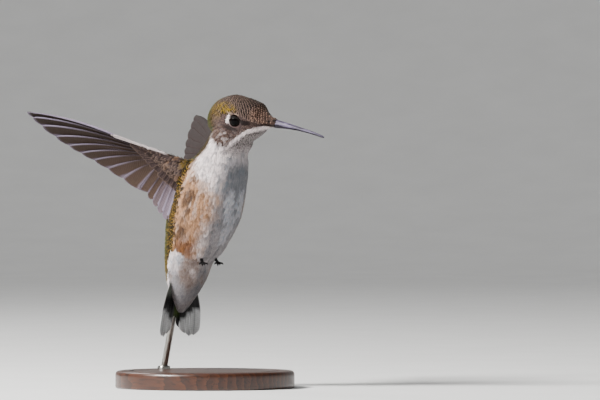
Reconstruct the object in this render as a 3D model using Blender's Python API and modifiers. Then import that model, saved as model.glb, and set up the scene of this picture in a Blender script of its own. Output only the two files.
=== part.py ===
"""A young ruby-throated hummingbird, life size, hovering upright on a display stand.

Metres, +Z up. The bird faces -Y and its right side is at -X. The origin is the centre of the
underside of the stand's base. Tables and the points of the wing are in millimetres. The head and
the trunk are lofted, joined and blended as one body, which thin cuts then part into head, neck,
trunk and tail coverts.
"""

import math

import bmesh
import bpy
import numpy as np
from mathutils import Matrix, Vector
from mathutils.bvhtree import BVHTree

MM = 0.001
GAP = 0.3  # left between neighbouring pieces

# Stand
BASE_RADIUS = 26.0
BASE_HEIGHT = 5.0
ROD_RADIUS = 0.9
ROD_FOOT = Vector((2.4, 18.5, 3.2))
ROD_TOP = Vector((0.6, 7.0, 45.0))

# Head. Its frame looks along the bill, and is turned to the bird's left, dipped and rolled.
HEAD_PLACE = Vector((0.0, -15.2, 78.1))  # between the eyes
HEAD_TURN = math.radians(7.6)
HEAD_DIP = math.radians(16.0)
HEAD_ROLL = math.radians(10.0)
# forward of the eyes, height of the middle, half width, reach above it, reach below it
HEAD_STATIONS = (
    (-11.5, -2.4, 1.2, 1.1, 1.2),
    (-10.7, -2.2, 3.3, 3.2, 3.6),
    (-8.6, -1.5, 5.1, 5.4, 5.6),
    (-5.0, -0.9, 6.2, 6.9, 6.4),
    (-1.0, -0.9, 6.4, 7.2, 6.6),
    (2.6, -0.9, 5.8, 7.3, 6.0),
    (5.6, -0.2, 4.6, 6.3, 4.0),
    (8.0, 0.7, 3.1, 4.3, 1.8),
    (10.0, 1.1, 2.0, 2.3, 1.3),
    (11.6, 1.2, 1.3, 1.35, 1.15),
)
# forward of the eyes, height of the middle, half width, half height
BILL_STATIONS = (
    (6.5, 0.85, 1.15, 1.12),
    (10.5, 1.15, 1.15, 1.12),
    (14.0, 1.55, 0.92, 0.88),
    (18.5, 1.95, 0.68, 0.62),
    (23.0, 2.1, 0.52, 0.45),
    (26.6, 2.0, 0.42, 0.34),
    (27.7, 1.9, 0.2, 0.2),
)
MOUTH_GAP = 0.12
EYE_RADIUS = 2.3
EYE_PLACE = (4.2, 0.1, 0.0)  # out from the middle, forward, up

# Trunk with neck and tail coverts, in level sections:
# height, place of the middle, half width, depth in front of it, depth behind it
TRUNK_STATIONS = (
    (77.0, -11.6, 4.6, 4.4, 4.4),
    (74.4, -10.6, 6.1, 6.0, 5.8),
    (71.0, -9.2, 6.9, 7.2, 6.7),
    (68.0, -7.0, 7.6, 8.4, 7.6),
    (64.6, -4.6, 8.9, 10.6, 9.4),
    (59.7, -2.5, 9.9, 11.0, 10.6),
    (54.2, -1.1, 10.4, 11.2, 11.2),
    (48.6, 0.7, 10.4, 11.3, 11.2),
    (42.8, 2.6, 9.2, 9.6, 10.2),
    (38.6, 4.6, 7.9, 8.6, 8.8),
    (36.6, 5.5, 7.1, 6.7, 8.1),
    (34.0, 6.4, 6.3, 6.5, 7.3),
    (31.0, 7.1, 5.5, 5.9, 6.3),
    (27.0, 8.1, 4.0, 4.2, 4.0),
    (23.6, 8.9, 2.2, 2.3, 1.8),
    (21.6, 9.3, 0.9, 1.0, 0.8),
)
# Where the body is parted: a point (y, z) of the cut and the slope of the cut's normal (y, z)
HEAD_CUT = ((-10.2, 72.6), (-0.42, 0.91))
NECK_CUT = ((-6.2, 66.6), (-0.5, 0.87))
COVERT_CUT = ((5.6, 37.0), (-0.3, 0.95))

# Wings, given for the bird's right side and mirrored for the left
SHOULDER = Vector((-6.0, -1.25, 64.6))
WING_REACH = 50.8
WING_SWEEP = math.radians(50.0)
WING_RAISE = math.radians(17.6)
TWIST_AT_ROOT = math.radians(8.0)
TWIST_AT_HAND = math.radians(40.0)
HAND_REACH = 30.0  # the twist is all made by here
PRIMARIES = 10
SECONDARIES = 6
VANE_THICKNESS = 0.56
# Control points in the plane of the wing, as (reach, chord)
ROOT_LINE = ((16.6, 0.1), (12.5, 0.9), (8.5, 2.6), (1.2, 6.0))
PRIMARY_TIPS = ((50.8, 0.0), (36.5, 9.2), (26.5, 10.0), (13.1, 12.4))
SECONDARY_TIPS = ((13.1, 12.4), (8.6, 14.4), (4.8, 19.6), (0.6, 18.6))
# Shares along those lines, from the outermost feather inwards
PRIMARY_SHARES = (0.0, 0.045, 0.125, 0.245, 0.365, 0.475, 0.59, 0.715, 0.85, 1.0)
# reach, chord of the middle, half the chord, half the thickness
ARM_STATIONS = (
    (-3.5, 3.6, 4.2, 2.8),
    (0.0, 3.3, 4.4, 2.6),
    (4.0, 2.8, 4.0, 2.1),
    (8.0, 1.9, 3.1, 1.6),
    (12.5, 0.7, 2.0, 1.15),
    (17.0, -0.35, 1.15, 0.8),
    (19.5, -0.75, 0.5, 0.5),
)

# Tail: place of its root and of its tip in the middle plane, as (y, z)
TAIL_ROOT = (8.8, 34.5)
TAIL_TIP = (11.8, 14.8)
TAIL_THICKNESS = 0.6
# For each feather from the middle outwards: where its tip lies sideways and up from TAIL_TIP,
# and half its width
RECTRICES = ((1.3, 5.0, 1.6), (2.9, 2.2, 1.8), (4.4, 0.8, 1.9), (5.8, 0.0, 2.0), (7.0, 0.3, 1.8))

# Feet
FOOT_PLACE = Vector((-3.2, -1.5, 37.0))
# sideways, forward and down from the ankle
TOES = ((-1.25, -0.4, -0.75), (-0.05, -0.85, -0.8), (1.15, -0.4, -0.75), (0.15, 0.15, -0.95))


# ---------------------------------------------------------------- scene


def clear_scene():
    for obj in list(bpy.data.objects):
        bpy.data.objects.remove(obj)


def new_collection(name):
    made = bpy.data.collections.new(name)
    bpy.context.scene.collection.children.link(made)
    return made


def new_material(name, colour, roughness, metallic=0.0):
    made = bpy.data.materials.new(name)
    made.use_nodes = True
    shader = made.node_tree.nodes["Principled BSDF"]
    shader.inputs["Base Color"].default_value = (*colour, 1.0)
    shader.inputs["Roughness"].default_value = roughness
    shader.inputs["Metallic"].default_value = metallic
    return made


def object_from(name, shape, material=None):
    """A new object in the parts from a bmesh, which it frees."""
    bmesh.ops.recalc_face_normals(shape, faces=shape.faces)
    mesh = bpy.data.meshes.new(name)
    shape.to_mesh(mesh)
    shape.free()
    mesh.shade_smooth()
    mesh.set_sharp_from_angle(angle=math.radians(50))
    obj = bpy.data.objects.new(name, mesh)
    parts.objects.link(obj)
    if material:
        obj.data.materials.append(material)
    return obj


def as_cutter(obj):
    """Moves a helper out of the parts, so that it only cuts."""
    parts.objects.unlink(obj)
    cutters.objects.link(obj)
    obj.hide_render = True
    obj.display_type = "WIRE"
    return obj


def boolean(obj, other, operation="DIFFERENCE"):
    made = obj.modifiers.new(operation.lower() + "_" + other.name, "BOOLEAN")
    made.operation = operation
    made.object = other


def applied_mesh(obj):
    """The object's mesh with its modifiers, as a mesh of its own."""
    bpy.context.view_layer.update()
    graph = bpy.context.evaluated_depsgraph_get()
    return bpy.data.meshes.new_from_object(obj.evaluated_get(graph))


# ---------------------------------------------------------------- curves and lofts


def eased_rows(rows, steps):
    """A table of stations read at more places, along smooth curves that never overshoot."""
    table = np.array(rows, float)
    lengths = np.abs(np.diff(table[:, 0]))
    at = np.concatenate([[0.0], np.cumsum(lengths)])
    slopes = np.diff(table, axis=0) / lengths[:, None]
    tangents = np.empty_like(table)
    tangents[0], tangents[-1] = slopes[0], slopes[-1]
    tangents[1:-1] = (slopes[:-1] + slopes[1:]) / 2
    tangents[1:-1][slopes[:-1] * slopes[1:] < 0] = 0.0
    found = []
    for place in np.linspace(0.0, at[-1], steps):
        i = min(int(np.searchsorted(at, place, side="right")) - 1, len(lengths) - 1)
        h = lengths[i]
        t = (place - at[i]) / h
        found.append(
            (2 * t**3 - 3 * t**2 + 1) * table[i]
            + (t**3 - 2 * t**2 + t) * h * tangents[i]
            + (3 * t**2 - 2 * t**3) * table[i + 1]
            + (t**3 - t**2) * h * tangents[i + 1]
        )
    return np.array(found)


def bezier(points, t):
    """The point at t on a Bezier curve with any number of control points."""
    level = [np.array(p, float) for p in points]
    while len(level) > 1:
        level = [(1 - t) * a + t * b for a, b in zip(level, level[1:])]
    return level[0]


def oval(centre, side, up, half_width, above, below, count):
    """Points round an oval that reaches further one way than the other."""
    ring = []
    for i in range(count):
        angle = 2 * math.pi * (i + 0.5) / count
        rise = math.sin(angle)
        ring.append(centre + side * half_width * math.cos(angle) + up * (above if rise > 0 else below) * rise)
    return ring


def loft(name, rings, material=None):
    """A closed form through rings of points in millimetres, with both ends capped."""
    shape = bmesh.new()
    rows = [[shape.verts.new(Vector(point) * MM) for point in ring] for ring in rings]
    count = len(rings[0])
    for low, high in zip(rows, rows[1:]):
        for i in range(count):
            j = (i + 1) % count
            shape.faces.new((low[i], low[j], high[j], high[i]))
    shape.faces.new(rows[0])
    shape.faces.new(rows[-1])
    return object_from(name, shape, material)


def slab(name, columns, half, material=None):
    """A closed sheet of even thickness: columns of (point, normal) pairs, in millimetres."""
    shape = bmesh.new()
    faces = []
    for sign in (1, -1):
        faces.append([[shape.verts.new((p + n * half * sign) * MM) for p, n in line] for line in columns])
    top, under = faces
    last, end = len(columns) - 1, len(columns[0]) - 1
    for i in range(last):
        for j in range(end):
            shape.faces.new((top[i][j], top[i + 1][j], top[i + 1][j + 1], top[i][j + 1]))
            shape.faces.new((under[i][j], under[i][j + 1], under[i + 1][j + 1], under[i + 1][j]))
        shape.faces.new((top[i][0], under[i][0], under[i + 1][0], top[i + 1][0]))
        shape.faces.new((top[i][end], top[i + 1][end], under[i + 1][end], under[i][end]))
    for j in range(end):
        shape.faces.new((top[0][j], top[0][j + 1], under[0][j + 1], under[0][j]))
        shape.faces.new((top[last][j], under[last][j], under[last][j + 1], top[last][j + 1]))
    bmesh.ops.triangulate(shape, faces=shape.faces)
    return object_from(name, shape, material)


def tube(name, points, radii, count, material=None):
    """A closed tube along points, with a radius at each."""
    line = [Vector(point) for point in points]
    rings = []
    for i, point in enumerate(line):
        along = (line[min(i + 1, len(line) - 1)] - line[max(i - 1, 0)]).normalized()
        side = along.cross(Vector((1.0, 0.3, 0.2))).normalized()
        r = radii[i]
        rings.append(oval(point, side, along.cross(side), r, r, r, count))
    return loft(name, rings, material)


# ---------------------------------------------------------------- body


def head_frame():
    return (
        Matrix.Translation(HEAD_PLACE)
        @ Matrix.Rotation(HEAD_TURN, 4, "Z")
        @ Matrix.Rotation(HEAD_DIP, 4, "X")
        @ Matrix.Rotation(-HEAD_ROLL, 4, "Y")
    )


def head_rings(stations, steps, count):
    frame = head_frame()
    side, up = Vector((1, 0, 0)), Vector((0, 0, 1))
    rings = []
    for forward, middle, half_width, above, below in eased_rows(stations, steps):
        ring = oval(Vector((0, -forward, middle)), side, up, half_width, above, below, count)
        rings.append([frame @ point for point in ring])
    return rings


def trunk_rings(steps, count):
    rings = []
    for z, y, half_width, front, back in eased_rows(TRUNK_STATIONS, steps):
        centre = Vector((0.0, y, z))
        rings.append(oval(centre, Vector((1, 0, 0)), Vector((0, 1, 0)), half_width, back, front, count))
    return rings


def whole_body():
    """Head and trunk made one skin, blended where they meet."""
    body = loft("whole_body", trunk_rings(34, 36))
    boolean(body, as_cutter(loft("head_form", head_rings(HEAD_STATIONS, 22, 32))), "UNION")
    remesh = body.modifiers.new("one_skin", "REMESH")
    remesh.mode = "VOXEL"
    remesh.voxel_size = 0.7 * MM
    smooth = body.modifiers.new("blend", "SMOOTH")
    smooth.factor = 0.5
    smooth.iterations = 6
    thin = body.modifiers.new("thin", "DECIMATE")
    thin.ratio = 0.085
    return as_cutter(body)


def kept_side(shape, cut, keep_above):
    """Cuts a bmesh by a plane, half a gap off it, and closes the cut."""
    (y, z), (ny, nz) = cut
    normal = Vector((0.0, ny, nz)).normalized()
    point = Vector((0.0, y, z)) + normal * (GAP / 2 if keep_above else -GAP / 2)
    bmesh.ops.bisect_plane(
        shape,
        geom=shape.verts[:] + shape.edges[:] + shape.faces[:],
        plane_co=point * MM,
        plane_no=normal,
        clear_inner=keep_above,
        clear_outer=not keep_above,
    )
    bmesh.ops.holes_fill(shape, edges=[edge for edge in shape.edges if edge.is_boundary])


def body_part(name, mesh, material, above=None, below=None):
    """The part of the body above one cut and below another."""
    shape = bmesh.new()
    shape.from_mesh(mesh)
    if above:
        kept_side(shape, above, True)
    if below:
        kept_side(shape, below, False)
    bmesh.ops.triangulate(shape, faces=shape.faces)
    return object_from(name, shape, material)


def swollen(name, mesh):
    """A helper that is a closed mesh grown by the gap, to cut its neighbours with."""
    shape = bmesh.new()
    shape.from_mesh(mesh)
    shape.normal_update()
    for vert, place in [(v, v.co + v.normal * GAP * MM) for v in shape.verts]:
        vert.co = place
    return as_cutter(object_from(name, shape))


# ---------------------------------------------------------------- head's pieces


def bill_half(name, grow=0.0, upper=True, material=None):
    """The bill above or below the mouth line, or the room for all of it."""
    frame = head_frame()
    rings = []
    for forward, middle, half_width, half_height in eased_rows(BILL_STATIONS, 10):
        centre = Vector((0, -forward, middle))
        side, up = Vector((1, 0, 0)), Vector((0, 0, 1))
        tall, wide = half_height + grow, half_width + grow
        ring = oval(centre, side, up, wide, tall, tall, 12)
        mouth = middle - 0.12 * half_height
        for point in ring:
            if not grow and upper:
                point.z = max(point.z, mouth + MOUTH_GAP / 2)
            elif not grow:
                point.z = min(point.z, mouth - MOUTH_GAP / 2)
        rings.append([frame @ point for point in ring])
    return loft(name, rings, material)


def ball(name, centre, radius, material=None):
    shape = bmesh.new()
    bmesh.ops.create_uvsphere(shape, u_segments=16, v_segments=9, radius=radius * MM)
    bmesh.ops.translate(shape, verts=shape.verts, vec=centre * MM)
    return object_from(name, shape, material)


def make_face(head):
    bill_half("bill_upper", upper=True, material=bill_horn)
    bill_half("bill_lower", upper=False, material=bill_horn)
    boolean(head, as_cutter(bill_half("bill_room", grow=GAP)))
    out, forward, up = EYE_PLACE
    for name, side in (("eye_right", -1), ("eye_left", 1)):
        centre = head_frame() @ Vector((side * out, -forward, up))
        ball(name, centre, EYE_RADIUS, eye_dark)
        boolean(head, as_cutter(ball(name + "_socket", centre, EYE_RADIUS + GAP)))


# ---------------------------------------------------------------- wings


def wing_axes(reach):
    """Directions out along the wing, back along its chord and out of its underside."""
    level = Vector((-math.cos(WING_SWEEP), math.sin(WING_SWEEP), 0.0))
    out = level * math.cos(WING_RAISE) + Vector((0, 0, math.sin(WING_RAISE)))
    inward = Vector((math.sin(WING_SWEEP), math.cos(WING_SWEEP), 0.0))
    down = out.cross(inward)
    if down.z > 0:
        down = -down
    share = min(max(reach / HAND_REACH, 0.0), 1.0)
    twist = TWIST_AT_ROOT + (TWIST_AT_HAND - TWIST_AT_ROOT) * share * share * (3 - 2 * share)
    chord = down * math.cos(twist) + inward * math.sin(twist)
    under = down * math.sin(twist) - inward * math.cos(twist)
    return out, chord, under


def wing_place(reach, chord, lift, side):
    out, back, under = wing_axes(reach)
    point = SHOULDER + out * reach + back * chord + under * lift
    return Vector((-side * point.x, point.y, point.z))


def feather_ends(number):
    """Root and tip of a flight feather in the plane of the wing, 0 being the outermost."""
    if number < PRIMARIES:
        share = PRIMARY_SHARES[number]
        return bezier(ROOT_LINE, 0.62 * number / PRIMARIES), bezier(PRIMARY_TIPS, share)
    share = (number - PRIMARIES + 1) / SECONDARIES
    root_share = 0.62 + 0.38 * (number - PRIMARIES + 1) / SECONDARIES
    return bezier(ROOT_LINE, root_share), bezier(SECONDARY_TIPS, share)


def shaft_place(number, t):
    """A place along a flight feather's shaft, which bows towards the wing's leading edge."""
    root, tip = feather_ends(number)
    length = np.linalg.norm(tip - root)
    bow = 0.2 if number < PRIMARIES else 0.12
    middle = (root + tip) / 2 + np.array([0.35, -1.0]) * bow * length * 0.62
    return bezier((root, middle, tip), t)


def seam_place(number, t):
    """A place between a feather and the one outside it, or on the wing's outer or inner edge."""
    if number == 0:
        return shaft_place(0, t) - np.array([0.0, 0.75 * math.sin(math.pi * (0.25 + 0.72 * t))])
    if number == PRIMARIES + SECONDARIES:
        return shaft_place(number - 1, t) + np.array([-1.6, 0.2])
    return (shaft_place(number - 1, t) + shaft_place(number, t)) / 2


def vane_place(number, seam, share, t):
    """A place on a feather's vane, from a seam (share 0) to its shaft (share 1)."""
    edge = seam_place(seam, t)
    return edge + (shaft_place(number, t) - edge) * share


def flight_feathers(name, first, last, side):
    """Feathers number first to last as one sheet, with a scalloped edge of tips."""
    rows = 5
    columns = []
    for number in range(first, last + 1):
        length = np.linalg.norm(np.subtract(*feather_ends(number)))
        depth = 1.5 / length  # of the notch between two tips
        for step in range(4):
            seam = number + 1 if step > 2 else number
            share = 0.5 if step > 2 else step / 2
            if step == 0 and number == first and first > 0:
                share = 0.12  # stands clear of the feathers outside it
            end = 1 - depth * (1 - math.sqrt(1 - (1 - share) ** 2))
            columns.append([vane_place(number, seam, share, end * row / (rows - 1)) for row in range(rows)])
    clear = 0.12 if last < PRIMARIES + SECONDARIES - 1 else 0.0
    columns.append([vane_place(last, last + 1, clear, (1 - depth) * row / (rows - 1)) for row in range(rows)])
    pairs = []
    for i, line in enumerate(columns):
        lift = 0.12 - 0.08 * (i % 4)  # each feather leans on the next
        row = []
        for reach, chord in line:
            under = wing_axes(reach)[2]
            row.append((wing_place(reach, chord, lift, side), Vector((-side * under.x, under.y, under.z))))
        pairs.append(row)
    return slab(name, pairs, VANE_THICKNESS / 2, flight_brown)


def arm_form(name, side, grow=0.0, material=None):
    """The feathered arm and hand, from inside the shoulder to the root of the outermost feather."""
    rings = []
    for reach, middle, half_chord, half_thick in eased_rows(ARM_STATIONS, 12):
        ring = []
        for i in range(16):
            angle = 2 * math.pi * i / 16
            chord = middle + (half_chord + grow) * math.cos(angle)
            ring.append(wing_place(reach, chord, (half_thick + grow) * math.sin(angle), side))
        rings.append(ring)
    return loft(name, rings, material)


def make_wing(word, side, body_room):
    arm = arm_form(f"wing_{word}_arm", side, material=back_green)
    boolean(arm, body_room)
    arm_room = as_cutter(arm_form(f"wing_{word}_arm_room", side, GAP))
    last = PRIMARIES + SECONDARIES - 1
    for label, first, end in (("primaries", 0, PRIMARIES - 1), ("secondaries", PRIMARIES, last)):
        fan = flight_feathers(f"wing_{word}_{label}", first, end, side)
        boolean(fan, arm_room)
        boolean(fan, body_room)


# ---------------------------------------------------------------- tail, feet and stand


def tail_place(across, t, lift):
    """A point of the tail: sideways, down along it from root to tip, and off its underside."""
    y = TAIL_ROOT[0] + (TAIL_TIP[0] - TAIL_ROOT[0]) * t
    z = TAIL_ROOT[1] + (TAIL_TIP[1] - TAIL_ROOT[1]) * t
    run = Vector((0, TAIL_TIP[0] - TAIL_ROOT[0], TAIL_TIP[1] - TAIL_ROOT[1])).normalized()
    under = run.cross(Vector((1, 0, 0)))
    if under.y > 0:
        under = -under
    return Vector((across, y, z)) + under * lift, under


def tail_blade(name, feathers, side, lift, inner):
    """Some of the tail's feathers on one side, or on both, as one blade with rounded tips."""
    length = math.hypot(TAIL_TIP[0] - TAIL_ROOT[0], TAIL_TIP[1] - TAIL_ROOT[1])
    edges = []  # (sideways at root, sideways at tip, t of the tip)
    for number in feathers:
        across, up, half = RECTRICES[number]
        for share in (-1.0, -0.55, 0.0, 0.55, 1.0):
            tip_t = 1.0 - up / length - (share * share) * 0.075
            edges.append((0.35 * (across + share * half), across + share * half, tip_t))
    kept = [edges[0]]
    for edge in edges[1:]:
        if edge[1] > kept[-1][1] + 0.25:
            kept.append(edge)
        elif edge[2] > kept[-1][2]:
            kept[-1] = (kept[-1][0], kept[-1][1], (edge[2] + kept[-1][2]) / 2)
    kept[0] = (inner * 0.4, inner, kept[0][2])
    if side == 0:
        kept = [(-a, -b, t) for a, b, t in reversed(kept[1:])] + kept[1:]
        side = 1
    columns = []
    for root, tip, tip_t in kept:
        line = []
        for row in range(7):
            share = row / 6
            spread = root + (tip - root) * (1 - (1 - share) ** 2.4)
            cup = 0.019 * spread * spread
            line.append(tail_place(side * spread, tip_t * share, lift + cup))
        columns.append(line)
    return slab(name, columns, TAIL_THICKNESS / 2, tail_black)


def make_tail(body_room):
    for word, side in (("right", -1), ("left", 1)):
        boolean(tail_blade(f"tail_{word}", (2, 3, 4), side, 0.0, 0.3), body_room)
    boolean(tail_blade("tail_center", (0, 1), 0, -(TAIL_THICKNESS + GAP + 0.05), 0.0), body_room)


def make_foot(name, side, body_mesh, body_room):
    """A short leg out of the belly with three toes hanging forward and one back, in one piece."""
    shape = bmesh.new()
    shape.from_mesh(body_mesh)
    skin = BVHTree.FromBMesh(shape)
    shape.free()
    place = Vector((-side * FOOT_PLACE.x, FOOT_PLACE.y, FOOT_PLACE.z))
    point, normal, _, _ = skin.find_nearest(place * MM)
    point = point / MM
    ankle = point + normal * 1.0
    leg = tube(name, (point - normal * 1.2, point, ankle), (0.55, 0.48, 0.4), 10, foot_black)
    for i, (across, ahead, drop) in enumerate(TOES):
        end = ankle + Vector((across, ahead, drop))
        knuckle = ankle.lerp(end, 0.5) + normal * 0.25
        claw = end + Vector((across * 0.1, 0.0, -0.55)) - normal * 0.1
        toe = tube(f"{name}_toe_{i}", (ankle - normal * 0.1, knuckle, end, claw), (0.34, 0.3, 0.27, 0.15), 8)
        boolean(leg, as_cutter(toe), "UNION")
    boolean(leg, body_room)


def make_stand(trunk, coverts):
    profile = ((0.0, BASE_HEIGHT), (BASE_RADIUS - 1.6, BASE_HEIGHT), (BASE_RADIUS - 0.5, 4.5),
               (BASE_RADIUS, 3.4), (BASE_RADIUS, 0.9), (BASE_RADIUS - 0.8, 0.0), (0.0, 0.0))
    shape = bmesh.new()
    line = [shape.verts.new((x * MM, 0.0, z * MM)) for x, z in profile]
    for a, b in zip(line, line[1:]):
        shape.edges.new((a, b))
    mesh = bpy.data.meshes.new("stand_base")
    shape.to_mesh(mesh)
    shape.free()
    base = bpy.data.objects.new("stand_base", mesh)
    parts.objects.link(base)
    mesh.materials.append(base_wood)
    screw = base.modifiers.new("turn", "SCREW")
    screw.steps = screw.render_steps = 40
    screw.use_merge_vertices = True
    screw.merge_threshold = 0.00001
    straight = [ROD_FOOT.lerp(ROD_TOP, share) for share in (0.0, 0.25, 0.5, 0.75, 1.0)]
    tube("stand_rod", straight, [ROD_RADIUS] * 5, 16, rod_steel)
    along = (ROD_TOP - ROD_FOOT).normalized() * GAP
    longer = [straight[0] - along, *straight[1:-1], straight[-1] + along]
    room = as_cutter(tube("rod_room", longer, [ROD_RADIUS + GAP] * 5, 16))
    for piece in (trunk, coverts, base):
        boolean(piece, room)


# ---------------------------------------------------------------- build


clear_scene()
parts = new_collection("hummingbird")
cutters = new_collection("cutters")
back_green = new_material("back_green", (0.18, 0.19, 0.08), 0.5)
crown_brown = new_material("crown_brown", (0.25, 0.18, 0.12), 0.6)
breast_white = new_material("breast_white", (0.75, 0.70, 0.65), 0.8)
flight_brown = new_material("flight_brown", (0.10, 0.08, 0.08), 0.5)
tail_black = new_material("tail_black", (0.05, 0.05, 0.06), 0.5)
bill_horn = new_material("bill_horn", (0.05, 0.05, 0.06), 0.35)
eye_dark = new_material("eye_dark", (0.01, 0.01, 0.01), 0.1)
foot_black = new_material("foot_black", (0.03, 0.03, 0.03), 0.5)
base_wood = new_material("base_wood", (0.12, 0.06, 0.03), 0.4)
rod_steel = new_material("rod_steel", (0.6, 0.6, 0.6), 0.3, 1.0)

body_mesh = applied_mesh(whole_body())
body_room = swollen("body_room", body_mesh)
head = body_part("head", body_mesh, crown_brown, above=HEAD_CUT)
neck = body_part("neck", body_mesh, breast_white, above=NECK_CUT, below=HEAD_CUT)
trunk = body_part("trunk", body_mesh, breast_white, above=COVERT_CUT, below=NECK_CUT)
coverts = body_part("tail_coverts", body_mesh, breast_white, below=COVERT_CUT)
make_face(head)
make_wing("right", -1, body_room)
make_wing("left", 1, body_room)
make_tail(body_room)
make_foot("leg_right", -1, body_mesh, body_room)
make_foot("leg_left", 1, body_mesh, body_room)
make_stand(trunk, coverts)
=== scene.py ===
import math
from types import SimpleNamespace

import bmesh
import bpy
import numpy as np
from bpy.props import FloatProperty, FloatVectorProperty, PointerProperty
from mathutils import Matrix, Vector, noise
from mathutils.bvhtree import BVHTree


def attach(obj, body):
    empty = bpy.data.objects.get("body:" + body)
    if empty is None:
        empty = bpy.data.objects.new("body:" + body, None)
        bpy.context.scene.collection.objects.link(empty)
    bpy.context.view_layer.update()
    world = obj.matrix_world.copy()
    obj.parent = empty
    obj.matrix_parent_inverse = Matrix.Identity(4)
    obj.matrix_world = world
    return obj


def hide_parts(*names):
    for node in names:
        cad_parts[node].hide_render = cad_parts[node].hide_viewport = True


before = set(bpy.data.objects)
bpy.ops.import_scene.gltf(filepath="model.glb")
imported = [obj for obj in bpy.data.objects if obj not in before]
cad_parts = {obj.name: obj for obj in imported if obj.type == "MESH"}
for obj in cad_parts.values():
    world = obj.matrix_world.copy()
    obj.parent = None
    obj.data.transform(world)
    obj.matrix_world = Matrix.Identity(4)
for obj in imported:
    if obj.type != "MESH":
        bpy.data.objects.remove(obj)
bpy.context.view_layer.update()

bl_info = {
    "name": "Ruby-throated hummingbird on a stand",
    "version": (1, 0, 0),
    "blender": (4, 5, 0),
    "location": "3D View > Sidebar > Hummingbird",
    "description": "Builds a life-size hovering hummingbird, feather by feather, on a turned stand",
    "category": "Object",
}

MM = 0.001

# ---------------------------------------------------------------- the bird's measures, in millimetres

HEAD = (
    Matrix.Translation(Vector((0.0, -15.2, 78.1)))
    @ Matrix.Rotation(math.radians(7.6), 4, "Z")
    @ Matrix.Rotation(math.radians(16.0), 4, "X")
    @ Matrix.Rotation(math.radians(-10.0), 4, "Y")
)
# forward, middle height, half width, above, below
HEAD_STATIONS = (
    (-11.5, -2.4, 1.2, 1.1, 1.2), (-10.7, -2.2, 3.3, 3.2, 3.6), (-8.6, -1.5, 5.1, 5.4, 5.6),
    (-5.0, -0.9, 6.2, 6.9, 6.4), (-1.0, -0.9, 6.4, 7.2, 6.6), (2.6, -0.9, 5.8, 7.3, 6.0),
    (5.6, -0.2, 4.6, 6.3, 4.0), (8.0, 0.7, 3.1, 4.3, 1.8), (10.0, 1.1, 2.0, 2.3, 1.3),
    (11.6, 1.2, 1.3, 1.35, 1.15),
)
# forward, middle, half width, half height
BILL_STATIONS = (
    (6.5, 0.85, 1.15, 1.12), (10.5, 1.2, 1.17, 1.24), (14.0, 1.6, 0.94, 0.97), (18.5, 1.95, 0.68, 0.62),
    (23.0, 2.1, 0.52, 0.45), (26.6, 2.0, 0.42, 0.34), (27.7, 1.9, 0.2, 0.2),
)
MOUTH_GAP = 0.12
SIDES = (("right", -1), ("left", 1))
EYE_RADIUS = 2.3
EYE_PLACE = (4.2, 0.1, 0.0)  # out from the middle, forward, up
# height, middle, half width, towards the breast, towards the back
TRUNK_STATIONS = (
    (77.0, -11.6, 4.6, 4.4, 4.4), (74.4, -10.6, 6.1, 6.0, 5.8), (71.0, -9.2, 6.9, 7.2, 6.7),
    (68.0, -7.0, 7.6, 8.4, 7.6), (64.6, -4.6, 8.9, 10.6, 9.4), (59.7, -2.5, 9.9, 11.0, 10.6),
    (54.2, -1.1, 10.4, 11.2, 11.2), (48.6, 0.7, 10.4, 11.3, 11.2), (42.8, 2.6, 9.2, 9.6, 10.2),
    (38.6, 4.6, 7.9, 8.6, 8.8), (36.6, 5.5, 7.1, 6.7, 8.1), (34.0, 6.4, 6.3, 6.5, 7.3),
    (31.0, 7.1, 5.5, 5.9, 6.3), (27.0, 8.1, 4.0, 4.2, 4.0), (23.6, 8.9, 2.2, 2.3, 1.8),
    (21.6, 9.3, 0.9, 1.0, 0.8),
)
SHOULDER = Vector((-6.0, -1.25, 64.6))
WING_SWEEP = math.radians(50.0)
WING_RAISE = math.radians(17.6)
WING_LEVEL = Vector((-math.cos(WING_SWEEP), math.sin(WING_SWEEP), 0.0))
WING_OUT = WING_LEVEL * math.cos(WING_RAISE) + Vector((0, 0, math.sin(WING_RAISE)))
WING_INWARD = Vector((math.sin(WING_SWEEP), math.cos(WING_SWEEP), 0.0))
WING_DOWN = WING_OUT.cross(WING_INWARD)
TWIST = (math.radians(8.0), math.radians(40.0))  # at the shoulder, and from the hand outwards
HAND_REACH = 30.0
PRIMARIES, SECONDARIES = 10, 6
LAST_FEATHER = PRIMARIES + SECONDARIES - 1
ROOT_LINE = ((16.6, 0.1), (12.5, 0.9), (8.5, 2.6), (1.2, 6.0))
PRIMARY_TIPS = ((50.8, 0.0), (36.5, 9.2), (26.5, 10.0), (13.1, 12.4))
SECONDARY_TIPS = ((13.1, 12.4), (8.6, 14.4), (4.8, 19.6), (0.6, 18.6))
PRIMARY_SHARES = (0.0, 0.045, 0.125, 0.245, 0.365, 0.475, 0.59, 0.715, 0.85, 1.0)
# reach, middle of the chord, half chord, half thickness
ARM_STATIONS = (
    (-3.5, 3.6, 4.2, 2.8), (0.0, 3.3, 4.4, 2.6), (4.0, 2.8, 4.0, 2.1), (8.0, 1.9, 3.1, 1.6),
    (12.5, 0.7, 2.0, 1.15), (17.0, -0.35, 1.15, 0.8), (19.5, -0.75, 0.5, 0.5),
)
TAIL_ROOT, TAIL_TIP = (8.8, 34.5), (11.8, 14.8)
# sideways at the tip, how far short of the end, half width; from the middle out
RECTRICES = ((1.2, 5.0, 1.6), (2.5, 2.2, 1.7), (3.9, 0.8, 2.3), (5.6, 0.0, 2.0), (7.0, 0.3, 1.8))
BLACK_FROM = (0.66, 0.66, 0.34, 0.34, 0.34)  # where along each tail feather the black starts
WHITE_FROM = (2.0, 2.0, 0.70, 0.62, 0.58)  # and the white tip; the middle two have none
FOOT_PLACE, LEG_LENGTH = Vector((-3.2, -1.5, 37.0)), 1.45
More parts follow.
